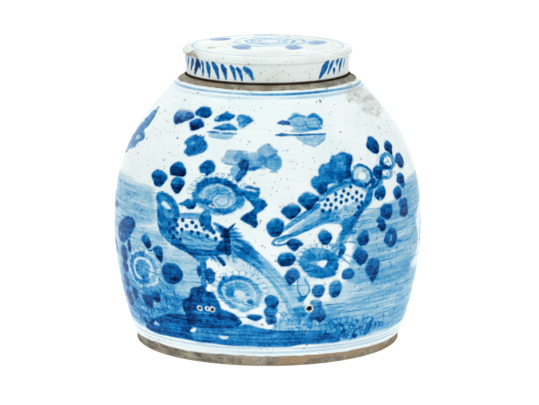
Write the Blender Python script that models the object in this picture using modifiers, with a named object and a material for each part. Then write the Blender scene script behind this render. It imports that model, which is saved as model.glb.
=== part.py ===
"""Blue-and-white ginger jar: a wheel-thrown porcelain jar with a short bare neck, and the cap lid that drops over it.

Run with: blender --background --python part.py
Metres, +Z up. The origin is the centre of the foot ring, where the jar stands.
"""

import math

import bpy

MM = 0.001
SEGMENTS = 72

# Outside of the jar body in millimetres. It is widest at the belly and draws in, by one power curve each way, to the
# edge of the glazed shoulder above and to the edge of the foot below.
BELLY_RADIUS = 125.0
BELLY_HEIGHT = 92.0
SHOULDER_RADIUS = 71.2
SHOULDER_HEIGHT = 214.2
SHOULDER_POWER = 2.5
FOOT_EDGE_RADIUS = 106.6
FOOT_EDGE_HEIGHT = 1.6
FOOT_POWER = 1.75
STEPS_ABOVE_BELLY = 13
STEPS_BELOW_BELLY = 9

# Inside of the jar body: a rounded floor, a wall of even thickness, and the way in to the neck.
WALL = 7.0
FLOOR_TO_WALL = ((84.0, 10.0), (95.0, 12.5), (103.0, 20.0))
WALL_BOTTOM = 38.0
WALL_TOP = 190.0
WALL_STEPS = 7
WALL_TO_NECK = ((76.4, 200.6), (64.0, 208.6), (55.4, 213.2), (52.5, 219.0))

# Neck and the bare ledge around it, which carries the lid.
NECK_INNER_RADIUS = 52.5
NECK_OUTER_RADIUS = 58.5
NECK_TOP = 230.5
LEDGE_HEIGHT = 217.0
LEDGE_EDGE_RADIUS = 66.4
NECK_FILLET = 2.0

# Foot: a broad ring with a shallow recess inside it.
FOOT_OUTER_RADIUS = 105.0
FOOT_INNER_RADIUS = 95.0
FOOT_ROUND = 1.2
RECESS_HEIGHT = 4.0
RECESS_RADIUS = 90.0
FLOOR_HEIGHT = 10.0

# Lid: a flat disc with a rolled rim and a skirt that hangs round the neck.
SEAT_GAP = 0.3
SKIRT_BOTTOM = LEDGE_HEIGHT + SEAT_GAP
SKIRT_BOTTOM_RADIUS = 65.8
SKIRT_TOP_RADIUS = 66.8
SKIRT_TOP = 232.2
SKIRT_INNER_RADIUS = 60.6
SKIRT_EDGE_ROUND = 1.6
RIM_CENTRE = (65.5, 235.8)
RIM_ROUND = 3.2
LID_TOP = 239.4
LID_UNDERSIDE = 232.7
LID_INNER_FILLET = 3.0


def arc(centre, radius, start, end, steps):
    """Points on a round, from one angle to another in degrees, counted from +radius towards +height."""
    angles = [math.radians(start + (end - start) * i / steps) for i in range(steps + 1)]
    return [(centre[0] + radius * math.cos(a), centre[1] + radius * math.sin(a)) for a in angles]


def body_radius(height):
    """Outside radius of the jar body at a height."""
    if height > BELLY_HEIGHT:
        end_radius, end_height, power = SHOULDER_RADIUS, SHOULDER_HEIGHT, SHOULDER_POWER
    else:
        end_radius, end_height, power = FOOT_EDGE_RADIUS, FOOT_EDGE_HEIGHT, FOOT_POWER
    way = (height - BELLY_HEIGHT) / (end_height - BELLY_HEIGHT)
    return BELLY_RADIUS - (BELLY_RADIUS - end_radius) * way**power


def body_line(start, end, steps, wall=0.0):
    """Points on the body from one height to another, set in from its outside by a wall thickness."""
    heights = [start + (end - start) * i / steps for i in range(steps + 1)]
    return [(body_radius(height) - wall, height) for height in heights]


def jar_profile():
    """The jar's section, from the middle of its floor up the inside, over the rim and down the outside."""
    rim_round = (NECK_OUTER_RADIUS - NECK_INNER_RADIUS) / 2
    rim_centre = (NECK_INNER_RADIUS + rim_round, NECK_TOP - rim_round)
    fillet_centre = (NECK_OUTER_RADIUS + NECK_FILLET, LEDGE_HEIGHT + NECK_FILLET)
    foot_centre = (FOOT_OUTER_RADIUS, FOOT_ROUND)
    return [
        (0, FLOOR_HEIGHT),
        *FLOOR_TO_WALL,
        *body_line(WALL_BOTTOM, WALL_TOP, WALL_STEPS, WALL),
        *WALL_TO_NECK,
        *arc(rim_centre, rim_round, 180, 0, 6),
        *arc(fillet_centre, NECK_FILLET, 180, 270, 3),
        (LEDGE_EDGE_RADIUS, LEDGE_HEIGHT),
        *body_line(SHOULDER_HEIGHT, BELLY_HEIGHT, STEPS_ABOVE_BELLY),
        *body_line(BELLY_HEIGHT, FOOT_EDGE_HEIGHT, STEPS_BELOW_BELLY)[1:],
        *arc(foot_centre, FOOT_ROUND, 0, -90, 3)[1:],
        (FOOT_INNER_RADIUS, 0),
        (FOOT_INNER_RADIUS - FOOT_ROUND, FOOT_ROUND),
        (RECESS_RADIUS, RECESS_HEIGHT),
        (0, RECESS_HEIGHT),
    ]


def lid_profile():
    """The lid's section, from the middle of its top out over the rim, down the skirt and back underneath."""
    outer_edge = (SKIRT_BOTTOM_RADIUS - SKIRT_EDGE_ROUND, SKIRT_BOTTOM + SKIRT_EDGE_ROUND)
    inner_fillet = (SKIRT_INNER_RADIUS - LID_INNER_FILLET, LID_UNDERSIDE - LID_INNER_FILLET)
    rim_top = RIM_CENTRE[1] + RIM_ROUND
    return [
        (0, LID_TOP),
        (30.0, LID_TOP),
        (54.0, LID_TOP - 0.2),
        (61.0, rim_top - 0.1),
        *arc(RIM_CENTRE, RIM_ROUND, 90, -54, 7),
        (SKIRT_TOP_RADIUS, SKIRT_TOP),
        *arc(outer_edge, SKIRT_EDGE_ROUND, 0, -90, 3),
        (SKIRT_INNER_RADIUS + 0.8, SKIRT_BOTTOM),
        (SKIRT_INNER_RADIUS, SKIRT_BOTTOM + 0.8),
        *arc(inner_fillet, LID_INNER_FILLET, 0, 90, 4),
        (0, LID_UNDERSIDE),
    ]


def glazed(name, colour, roughness):
    """A glossy porcelain material."""
    material = bpy.data.materials.new(name)
    material.use_nodes = True
    shader = material.node_tree.nodes["Principled BSDF"]
    shader.inputs["Base Color"].default_value = (*colour, 1)
    shader.inputs["Roughness"].default_value = roughness
    shader.inputs["Metallic"].default_value = 0
    material.diffuse_color = (*colour, 1)
    return material


def turned(name, profile, material, collection):
    """A solid of revolution about the Z axis, from a section in millimetres."""
    mesh = bpy.data.meshes.new(name)
    points = [(radius * MM, 0, height * MM) for radius, height in profile]
    mesh.from_pydata(points, [(i, i + 1) for i in range(len(points) - 1)], [])
    mesh.materials.append(material)
    obj = bpy.data.objects.new(name, mesh)
    collection.objects.link(obj)
    screw = obj.modifiers.new("Turn", "SCREW")
    screw.axis = "Z"
    screw.angle = math.tau
    screw.steps = SEGMENTS
    screw.render_steps = SEGMENTS
    screw.use_merge_vertices = True
    screw.merge_threshold = 0.00001
    screw.use_smooth_shade = True
    return obj


def main():
    for obj in list(bpy.data.objects):
        bpy.data.objects.remove(obj)
    collection = bpy.data.collections.new("ginger_jar")
    bpy.context.scene.collection.children.link(collection)
    jar_glaze = glazed("jar_glaze", (0.76, 0.84, 0.87), 0.16)
    lid_glaze = glazed("lid_glaze", (0.80, 0.86, 0.86), 0.2)
    turned("jar_body", jar_profile(), jar_glaze, collection)
    turned("lid", lid_profile(), lid_glaze, collection)


main()
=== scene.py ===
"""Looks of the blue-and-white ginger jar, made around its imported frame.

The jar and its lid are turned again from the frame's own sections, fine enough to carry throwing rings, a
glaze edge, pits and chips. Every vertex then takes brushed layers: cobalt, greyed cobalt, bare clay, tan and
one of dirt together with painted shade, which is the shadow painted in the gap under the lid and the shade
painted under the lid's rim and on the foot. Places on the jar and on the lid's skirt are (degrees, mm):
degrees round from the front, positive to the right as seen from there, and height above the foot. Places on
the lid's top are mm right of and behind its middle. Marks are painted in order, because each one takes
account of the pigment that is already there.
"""

import math

import bpy
import numpy as np
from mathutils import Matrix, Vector


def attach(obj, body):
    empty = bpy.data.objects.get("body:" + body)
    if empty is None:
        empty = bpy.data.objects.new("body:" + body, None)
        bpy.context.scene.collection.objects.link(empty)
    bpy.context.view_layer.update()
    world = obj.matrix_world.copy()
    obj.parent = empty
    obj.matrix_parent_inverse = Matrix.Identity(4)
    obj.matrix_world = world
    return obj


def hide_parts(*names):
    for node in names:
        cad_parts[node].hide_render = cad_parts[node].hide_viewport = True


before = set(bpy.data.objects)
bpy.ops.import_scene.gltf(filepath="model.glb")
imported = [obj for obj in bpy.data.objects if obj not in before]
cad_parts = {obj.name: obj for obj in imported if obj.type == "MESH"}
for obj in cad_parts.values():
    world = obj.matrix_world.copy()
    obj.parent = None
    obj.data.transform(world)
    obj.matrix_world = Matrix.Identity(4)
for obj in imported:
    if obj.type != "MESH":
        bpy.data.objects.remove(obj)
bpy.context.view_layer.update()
MM = 0.001

# Camera and studio. Angles in degrees, lengths in metres.
CAMERA_DISTANCE = 2.5
CAMERA_RISE = 11.0
CAMERA_AIM = (0.0016, 0.0, 0.1103)
CAMERA_LENS_MM = 205.9
LIGHTS = (
    # name, place, width in metres, watts
    ("key", (-0.9, -1.6, 1.7), 1.2, 6),
    ("fill", (1.3, -1.5, 1.2), 1.2, 2),
    ("top", (0.0, -0.2, 2.2), 1.6, 19),
)
SKY_COLOUR, SKY_STRENGTH = (0.96, 0.99, 1.0, 1), 0.45
FLOOR_HALF, SWEEP_START, SWEEP_RADIUS, SWEEP_HEIGHT, SWEEP_STEPS = 6.0, 4.4, 1.0, 5.0, 12
FLOOR_GLOW = 0.86

# Fineness of the turned surfaces: degrees from one column to the next, and mm from one row to the next.
JAR_FRONT_STEP, JAR_BACK_STEP, FRONT_HALF = 0.35, 0.5, 96.0
LID_STEP = 0.66
WALL_ROW_MM, DETAIL_ROW_MM, SKIRT_INSIDE_ROW_MM, HIDDEN_ROW_MM = 0.8, 0.9, 2.0, 5.0
CORNER_DEGREES = 50.0

# Heights and radii in mm where the jar's surfaces change.
GLAZE_TOP, GLAZE_FOOT, INSIDE_GLAZE_TOP = 213.6, 8.2, 226.0
MOUTH_LOW = 212.0
RECESS_RADIUS, RECESS_HIGH = 94.0, 6.0
WALL_LOW, WALL_HIGH, WALL_RADIUS = 1.2, 217.0, 66.0
THROWN_LOW, THROWN_HIGH = 1.5, 216.9
PAINTED_LOW, PAINTED_HIGH = 12.0, 205.0
# The ring of the ledge just outside the lid's skirt that is painted near-black as the shadow in the gap under
# the lid.
GAP_SHADOW_HIGH, GAP_SHADOW_INNER, GAP_SHADOW_OUTER = 216.2, 63.0, 66.8

# The same for the lid.
LID_SIDE_RADIUS, SKIRT_RADIUS, SKIRT_INSIDE = 63.0, 66.3, 55.0
LID_BARE_HIGH, LID_SEAT_HIGH, LID_SEAT_RADIUS = 231.5, 218.3, 60.0

# The last layer holds real dirt and iron specks together with painted shade and a painted shadow.
LAYERS = ("cobalt", "grey", "clay", "tan", "dirt_and_shade")
ROUND_TALL = 900.0  # mm, so tall a patch of noise that it changes only round the jar


# ---------------------------------------------------------------- shared helpers


def smooth(value, low, high):
    """0 at low, 1 at high and an S between them. High may be under low."""
    t = np.clip((value - low) / (high - low), 0.0, 1.0)
    return t * t * (3 - 2 * t)


def wrapped(degrees):
    """The same direction counted from -180 to 180."""
    return (degrees + 180) % 360 - 180


def grain(across, up, cell, seed, period=None):
    """Smooth random values from -1 to 1, with one bump to each cell, repeating after period across."""
    columns = max(3, round(period / cell[0])) if period else 256
    rows = 256
    lattice = np.random.default_rng(seed).uniform(-1, 1, (rows, columns))
    x = across * (columns / period) if period else across / cell[0]
    y = up / cell[1]
    left, low = np.floor(x).astype(int), np.floor(y).astype(int)
    fx, fy = smooth(x - left, 0, 1), smooth(y - low, 0, 1)

    def corner(i, j):
        return lattice[(low + j) % rows, (left + i) % columns]

    bottom = corner(0, 0) * (1 - fx) + corner(1, 0) * fx
    top = corner(0, 1) * (1 - fx) + corner(1, 1) * fx
    return bottom * (1 - fy) + top * fy


def rounded(points, closed, spans=5):
    """A Catmull-Rom line through the points."""
    points = np.asarray(points, float)
    if closed:
        before, after, last = np.roll(points, 1, 0), np.roll(points, -1, 0), np.roll(points, -2, 0)
    else:
        before = np.vstack([points[:1], points[:-2]])
        last = np.vstack([points[2:], points[-1:]])
        points, after, end = points[:-1], points[1:], points[-1:]
    t = (np.arange(spans) / spans)[None, :, None]
    a, b, c, d = (p[:, None, :] for p in (before, points, after, last))
    square, cube = 2 * a - 5 * b + 4 * c - d, 3 * b - a - 3 * c + d
    line = 0.5 * (2 * b + (c - a) * t + square * t**2 + cube * t**3)
    line = line.reshape(-1, points.shape[1])
    return line if closed else np.vstack([line, end])


def nearest(places, line, closed):
    """Distance of each place from a line, and how far along the line its nearest point lies, from 0 to 1."""
    start = line if closed else line[:-1]
    run = (np.roll(line, -1, 0) if closed else line[1:]) - start
    squared = np.maximum((run**2).sum(1), 1e-9)
    offset = places[:, None] - start
    t = np.clip((offset * run).sum(2) / squared, 0, 1)
    gaps = ((offset - t[..., None] * run) ** 2).sum(2)
    best = gaps.argmin(1)
    rows = np.arange(len(places))
    lengths = np.sqrt(squared)
    before = np.cumsum(lengths) - lengths
    return np.sqrt(gaps[rows, best]), (before[best] + t[rows, best] * lengths[best]) / lengths.sum()


def depth_inside(places, line):
    """Distance of each place from a closed line, positive inside it."""
    distance, _ = nearest(places, line, True)
    (x0, y0), (x1, y1) = line.T, np.roll(line, -1, 0).T
    px, py = places[:, :1], places[:, 1:]
    spans = (y0 > py) != (y1 > py)
    with np.errstate(divide="ignore", invalid="ignore"):
        crossing = spans & (px < x0 + (py - y0) * (x1 - x0) / (y1 - y0))
    return np.where(crossing.sum(1) % 2 == 1, distance, -distance)


def oval(across, up, half_across, half_up, lean=0.0, seed=0):
    """A slightly lumpy round outline. Lean, in mm, moves its top to the right."""
    rng = np.random.default_rng(seed)
    corners, lumpiness = 9, 0.09
    turns = np.arange(corners) * math.tau / corners
    lumps = 1 + rng.uniform(-lumpiness, lumpiness, corners)
    lift = np.sin(turns) * lumps
    return np.stack([across + half_across * np.cos(turns) * lumps + lean * lift, up + half_up * lift], 1)


# ---------------------------------------------------------------- painting


FULL = 1.3  # pigment that takes no more on top of it


class Canvas:
    """Paint layers on vertices that each have a place across and up a surface."""

    def __init__(self, across, up, unit_mm=None):
        self.across, self.up = across, up
        self.unit_mm = unit_mm  # mm to a degree at a height, or None on a flat
        self.layers = {name: np.zeros(len(up)) for name in LAYERS}

    def local(self, points, reach):
        """Vertices within reach of the points' box, and they and the points in mm from the box's middle."""
        points = np.asarray(points, float)
        low, high = points.min(0), points.max(0)
        middle, half = (low + high) / 2, (high - low) / 2
        unit, across = 1.0, self.across - middle[0]
        if self.unit_mm:
            unit, across = self.unit_mm(middle[1]), wrapped(across)
        up = self.up - middle[1]
        beside = np.abs(across) * unit < half[0] * unit + reach
        at = np.flatnonzero(beside & (np.abs(up) < half[1] + reach))
        return at, np.stack([across[at] * unit, up[at]], 1), (points - middle) * (unit, 1)

    def noise(self, at, wide, tall, seed):
        """Random values from -1 to 1 in patches this wide and tall, in mm."""
        if not self.unit_mm:
            return grain(self.across[at], self.up[at], (wide, tall), seed)
        degree = self.unit_mm(100.0)
        return grain(self.across[at], self.up[at], (wide / degree, tall), seed, period=360)

    def add(self, at, cover, tone, grey=0.0):
        """More pigment on what is there, which takes less of it the darker it already is."""
        cobalt = self.layers["cobalt"]
        extra = np.maximum(cover * tone, 0) * (1 - cobalt[at] / FULL)
        total = cobalt[at] + extra
        greys = self.layers["grey"]
        greys[at] = (greys[at] * cobalt[at] + grey * extra) / np.maximum(total, 1e-6)
        cobalt[at] = total

    def reserve(self, at, cover, tone=0.0):
        """Ground kept free of pigment, or wiped to a light tone."""
        cobalt = self.layers["cobalt"]
        cobalt[at] = cobalt[at] * (1 - cover) + tone * cover

    def mark(self, layer, at, cover):
        """The larger of what a layer holds and the cover."""
        self.layers[layer][at] = np.maximum(self.layers[layer][at], cover)

    def dab(self, outline, tone=0.82, pool=0.3, lean=(0.15, -1.0), grey=0.0, streak=0.1):
        """One loaded brush mark: pooled dark towards lean, paler at its rim, with a faint bleed round it."""
        at, places, line = self.local(outline, 4.0)
        seed = int(abs(outline[0][0]) * 31 + abs(outline[0][1]) * 7)
        line = rounded(line, True)
        depth = depth_inside(places, line) + 0.35 * self.noise(at, 2.6, 2.2, seed)
        fall = np.clip((places / np.abs(line).max(0)) @ np.array(lean), -1, 1)
        rim = smooth(np.abs(depth - 0.9), 0.9, 0.1) * (0.5 + self.noise(at, 5.0, 4.0, seed + 4))
        body = tone * (0.96 + 1.5 * pool * fall + 0.14 * rim) * (0.88 + 0.12 * smooth(depth, 0.2, 2.4))
        streaks, blots = self.noise(at, 11.0, 1.5, seed + 1), self.noise(at, 4.0, 3.0, seed + 2)
        body += 1.3 * streak * tone * streaks + 0.16 * blots
        self.add(at, 0.06 * smooth(depth, -2.2, 0.0), 1.0, grey)
        self.add(at, smooth(depth, -0.28, 0.24), body, grey)

    def clear(self, outline, tone=0.0, soft=0.6):
        """White, or a pale tone, kept inside an outline."""
        at, places, line = self.local(outline, 3.0)
        depth = depth_inside(places, rounded(line, True)) + 0.3 * self.noise(at, 2.5, 2.5, 5)
        self.reserve(at, smooth(depth, -soft, soft), tone)

    def wash(self, outline, tone, streak=0.35, soft=1.6, grey=0.0, seed=0, merge=False):
        """A thin layer drawn in long level strokes. Merged, it doesn't darken where it overlaps another."""
        at, places, line = self.local(outline, soft + 3.0)
        depth = depth_inside(places, rounded(line, True)) + 1.2 * self.noise(at, 16.0, 2.2, seed)
        level = self.noise(at, 40.0, 2.2, seed + 1) * 0.6 + self.noise(at, 16.0, 1.3, seed + 2) * 0.4
        body = tone * (1 + streak * level + 0.15 * self.noise(at, 9.0, 7.0, seed + 3))
        if merge:
            body = np.maximum(body - self.layers["cobalt"][at], 0)
        self.add(at, smooth(depth, -soft, soft), body, grey)

    def stroke(self, line, width, tone, ends=(0.4, 0.3), grey=0.0, wipe=False, peak=0.45):
        """A line this many mm wide at its peak, which is a share of its length, and narrower at its ends."""
        at, places, line = self.local(line, width + 1.2)
        gap, along = nearest(places, rounded(line, False), False)
        half = width / 2 * np.interp(along, (0, peak, 1), (ends[0], 1, ends[1]))
        cover = smooth(gap, half + 0.34, half - 0.34)
        if wipe:
            self.reserve(at, cover, tone)
        else:
            self.add(at, cover, tone, grey)

    def dots(self, places, half_up, tone=1.0):
        """Round spots of thick pigment."""
        for across, up in places:
            unit = self.unit_mm(up)
            at, around, _ = self.local([(across, up)], half_up + 1.2)
            gap = np.hypot(*around.T) + 0.25 * self.noise(at, 1.8, 1.8, int(abs(across * 10)))
            self.add(at, smooth(gap, half_up + 0.45, half_up - 0.5), tone * (1.0 - 0.02 * unit))

    def feathers(self, left, right, count, width, tone, seed):
        """Fine strokes side by side between two lines, each covering part of their length."""
        rng = np.random.default_rng(seed)
        left, right = rounded(left, False), rounded(right, False)
        for share in (np.arange(count) + 0.5) / count:
            share += rng.uniform(-0.15, 0.15) / count
            first = rng.uniform(0.0, 0.35)
            last = rng.uniform(0.7, 1.0)
            picked = np.linspace(first, last, 7) * (len(left) - 1)
            rows = np.clip(picked.round().astype(int), 0, len(left) - 1)
            line = left[rows] * (1 - share) + right[rows] * share
            self.stroke(line, width * rng.uniform(0.7, 1.2), tone * rng.uniform(0.55, 1.25), (0.6, 0.3))

    def curls(self, box, count, radius, tone, seed, width=0.9):
        """Short scribbled arcs scattered in a box of (left, right, bottom, top)."""
        rng = np.random.default_rng(seed)
        for _ in range(count):
            across, up = rng.uniform(box[0], box[1]), rng.uniform(box[2], box[3])
            unit = self.unit_mm(up)
            start, size = rng.uniform(0, math.tau), radius * rng.uniform(0.55, 1.2)
            angles = start + np.linspace(0, 2.6 * rng.uniform(0.6, 1.2), 6)
            arc = [(across + size * math.cos(a) / unit, up + size * 0.9 * math.sin(a)) for a in angles]
            self.stroke(arc, width, tone * rng.uniform(0.6, 1.2), (0.7, 0.5))

    def scallops(self, middle, half, bumps, width, tone):
        """A closed line of petal-like arcs round a middle, with half = (degrees, mm)."""
        line = []
        for i in range(4 * bumps + 1):
            angle, reach = math.tau * i / (4 * bumps), 1 + 0.16 * abs(math.sin(math.pi * i / 4))
            across = middle[0] + half[0] * reach * math.cos(angle)
            line.append((across, middle[1] + half[1] * reach * math.sin(angle)))
        self.stroke(line, width, tone, (0.8, 0.8))

    def hairlines(self, box, count, tone, seed):
        """Fine scratches of the brush, nearly level, scattered in a box of (left, right, bottom, top)."""
        rng = np.random.default_rng(seed)
        for _ in range(count):
            across, up = rng.uniform(box[0], box[1]), rng.uniform(box[2], box[3])
            long, fall = rng.uniform(2, 11) / self.unit_mm(up), rng.uniform(-0.5, 1.2)
            line = [(across, up), (across + long / 2, up + 0.2), (across + long, up + fall)]
            self.stroke(line, rng.uniform(0.5, 0.9), tone * rng.uniform(0.5, 1.3), (0.5, 0.3))

    def combs(self, line, count, reach, tone, seed, width=1.1, bend=2.0):
        """A row of short strokes that curl the same way and hang side by side from a line."""
        rng = np.random.default_rng(seed)
        path = rounded(line, False)
        for i in range(count):
            across, up = path[round(i / max(1, count - 1) * (len(path) - 1))]
            unit = self.unit_mm(up)
            size, swing = reach * rng.uniform(0.5, 1.3), bend * rng.uniform(0.3, 1.6)
            across, up = across + rng.uniform(-1.1, 1.1) / unit, up + rng.uniform(-1.4, 1.4)
            middle = (across + swing / unit, up - size * 0.35)
            arc = [(across, up), middle, (across + swing * 0.5 / unit, up - size)]
            self.stroke(arc, width * rng.uniform(0.7, 1.2), tone * rng.uniform(0.6, 1.15), (0.7, 0.4))

    def flower(self, middle, half, bands, halo=1.22, turn=0.0, petals=0, seed=0, heavy=-40.0, weight=0.35):
        """Rings round a middle, in shares of half = (degrees, mm), with most pigment towards the angle heavy.

        A band is (inner, outer, tone, strokes), and its brush strokes run out from the middle. The halo is
        the white left round the rings, and the petals are fine outlines over the upper half.
        """
        (across, up), (wide, tall) = middle, half
        corners = [(across - wide * halo, up - tall * halo), (across + wide * halo, up + tall * halo)]
        at, places, _ = self.local(corners, 2.0)
        c, s = math.cos(math.radians(turn)), math.sin(math.radians(turn))
        x = (places[:, 0] * c + places[:, 1] * s) / (wide * self.unit_mm(up))
        y = (places[:, 1] * c - places[:, 0] * s) / tall
        angle = np.degrees(np.arctan2(y, x))
        lumps = 0.08 * self.noise(at, 9.0, 9.0, seed) + 0.05 * self.noise(at, 3.4, 3.4, seed + 1)
        share = np.hypot(x, y) * (1 + lumps)
        if halo > 1:
            ragged = share + 0.06 * self.noise(at, 4.0, 4.0, seed + 9)
            self.reserve(at, smooth(ragged, halo + 0.04, halo - 0.22), 0.05)
        load = 1 + weight * np.cos(np.radians(angle - heavy))
        for inner, outer, tone, strokes in bands:
            hatch = grain(angle + 25 * share, share * 10, (360 / strokes, 2.5), seed + 2, period=360)
            ragged = share - 0.03 * hatch
            cover = smooth(ragged, inner - 0.04, inner + 0.06) * smooth(ragged, outer + 0.05, outer - 0.05)
            body = tone * load * (1 + 0.38 * hatch + 0.25 * self.noise(at, 7.0, 5.0, seed + 3))
            self.add(at, cover, body)
        for petal in range(petals):
            turned_to = math.radians(8 + 164 * petal / max(1, petals - 1))
            for side in (-0.11, 0.11):
                tip = []
                for reach, spread in ((1.02, 0.8), (1.18, 1.4), (1.3, 0.2)):
                    angle = turned_to + side * spread
                    tip.append((across + wide * reach * math.cos(angle), up + tall * reach * math.sin(angle)))
                self.stroke(tip, 0.5, 0.28, (0.8, 0.6))

    def spray(self, line, count, size, tone, seed):
        """Leaf dabs set on both sides of a line."""
        rng = np.random.default_rng(seed)
        path = rounded(line, False)
        for i in range(count):
            across, up = path[int((i + 0.5) / count * (len(path) - 1))]
            unit = self.unit_mm(up)
            side = (-1) ** i * size * rng.uniform(0.8, 1.5)
            half = size * rng.uniform(0.75, 1.05)
            across, up = across + side / unit, up + rng.uniform(-2, 2)
            lean = rng.uniform(-0.25, 0.25) * half / unit
            leaf = oval(across, up, half / unit, half * 0.95, lean, seed + i)
            self.dab(leaf, tone * rng.uniform(0.85, 1.1))


# ---------------------------------------------------------------- what is painted on the jar

# Leaf marks: (outline, tone, pool, grey). They lie in clusters around the birds and flowers.
LEAVES_LEFT = (
    ([(-52.5, 193), (-51, 196), (-45, 196.2), (-41.5, 195.5), (-38.7, 192.5), (-42, 189.5), (-45, 187.4),
      (-48, 186), (-51, 188.6)], 0.66, 0.55, 0.75),
    ([(-39.6, 197), (-37, 200.3), (-33, 200.4), (-30.5, 198.5), (-29.3, 195.8), (-31.5, 193.2),
      (-35, 193.3), (-38.5, 194.5)], 0.92, 0.15, 0.0),
    ([(-40, 188.5), (-37.5, 191.5), (-34.5, 191.8), (-31.2, 188), (-33, 185.3), (-36.5, 183),
      (-38.5, 185.2)], 1.02, 0.25, 0.1),
    ([(-26.8, 193), (-25, 195.5), (-23, 197), (-21.5, 199), (-19.5, 197.2), (-16.5, 196), (-18.5, 192.8),
      (-21.5, 191.8), (-25.5, 191)], 0.78, 0.1, 0.0),
    ([(-15.5, 193.5), (-14.5, 196.2), (-11, 196.2), (-8, 194.8), (-7, 192.8), (-9, 190.5), (-12, 187.7),
      (-13.5, 189), (-14.2, 191.5)], 0.46, 0.0, 0.0),
    ([(-25.8, 186.5), (-23, 188.8), (-20, 190.2), (-17, 189.7), (-14.8, 187.7), (-14.2, 186), (-17, 185.9),
      (-20, 185.5), (-23, 185.6)], 0.62, 0.1, 0.1),
    ([(-38.2, 174.5), (-36.5, 178.5), (-34, 180.6), (-31, 179.8), (-28.8, 180.3), (-29, 178.4),
      (-27, 175.5), (-26.2, 172.5), (-28, 168.5), (-31, 166.2), (-34.5, 165.4), (-36.8, 168),
      (-36.3, 171.5)], 0.68, 0.05, 0.1),
    ([(-28, 158), (-26.8, 160.7), (-25.2, 163.3), (-23, 163.3), (-21.1, 160), (-21.3, 156), (-23, 154),
      (-23.8, 151.7), (-24.8, 153.6), (-26.6, 154)], 0.88, 0.15, 0.0),
    ([(-41.5, 154.5), (-40, 158.8), (-37, 160.3), (-35, 157.5), (-33.2, 153.5), (-33.7, 150), (-37, 149.5),
      (-40.3, 150)], 1.0, 0.32, 0.0),
    ([(-50.8, 147.2), (-48.5, 151.6), (-46, 151.7), (-43, 150), (-41.8, 147), (-42.7, 143), (-44.7, 139.7),
      (-47, 139.3), (-48.8, 142.5)], 0.9, 0.12, 0.0),
    ([(-39.6, 143), (-38.8, 147.3), (-36.8, 149), (-34.3, 148), (-33, 144.5), (-34.2, 140), (-35.4, 136.4),
      (-37, 137), (-38.9, 140)], 0.95, 0.35, 0.0),
    ([(-34.6, 128.6), (-32.5, 130.8), (-30.5, 133.6), (-28, 132.3), (-26.9, 129.5), (-28, 126.5),
      (-30, 125.6), (-31.5, 127.7)], 0.95, 0.25, 0.0),
    ([(-9.1, 140.5), (-8.7, 142.6), (-5.4, 141.8), (-2.8, 142.3), (-3.2, 137.5), (-1.2, 135.5), (-0.2, 132),
      (-2, 127.5), (-3.7, 125), (-3.7, 117), (-4.6, 114.7), (-6.5, 117), (-9.7, 120.7), (-8.2, 124.5),
      (-5, 129), (-6.2, 134), (-8.3, 137)], 0.78, 0.2, 0.0),
    ([(-8.8, 144.6), (-7.5, 146.4), (-5.2, 145.4), (-2.9, 144.2), (-3.6, 142.9), (-6.4, 143.8)], 0.72, 0.0,
     0.3),
    ([(-74, 92), (-72.5, 100), (-68, 106), (-64, 109.5), (-60.5, 110.5), (-57.8, 108), (-57.2, 104.5),
      (-59, 99.5), (-62, 93), (-66, 88), (-71, 87)], 0.72, -0.05, 0.0),
    ([(-63.4, 88), (-61.8, 92.5), (-60.6, 88.5), (-60.8, 83.8), (-62, 82.4), (-63.2, 84.5)], 0.95, 0.2,
     0.0),
    ([(-53.2, 96), (-51.5, 99.7), (-49.3, 99.3), (-47.2, 94.5), (-47.5, 90.5), (-49, 89.5), (-51.2, 92)],
     0.9, 0.28, 0.0),
    ([(-46, 90.5), (-44, 93.4), (-41.8, 92.5), (-41.2, 87), (-42, 80.5), (-44, 82.5), (-45.3, 86)], 0.86,
     0.3, 0.0),
    ([(-42.2, 72), (-41, 79), (-38, 81.3), (-35, 80.5), (-33, 77), (-32.5, 71.5), (-34.5, 66.5),
      (-37.5, 63.5), (-41, 65)], 0.84, 0.1, 0.0),
    ([(-57, 46.5), (-55, 50.3), (-51, 50.5), (-49.8, 46), (-50.5, 40.5), (-53, 39.3), (-55.7, 42)], 0.88,
     0.32, 0.0),
    ([(-50.3, 50), (-48, 54), (-45.5, 53.5), (-44.8, 49), (-46.5, 45.5), (-49.5, 47)], 0.88, 0.3, 0.0),
    ([(-7.8, 42.5), (-6.5, 44), (-3, 44), (-2, 42), (-4, 39.3), (-6, 39.9)], 0.84, 0.2, 0.1),
)
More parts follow.
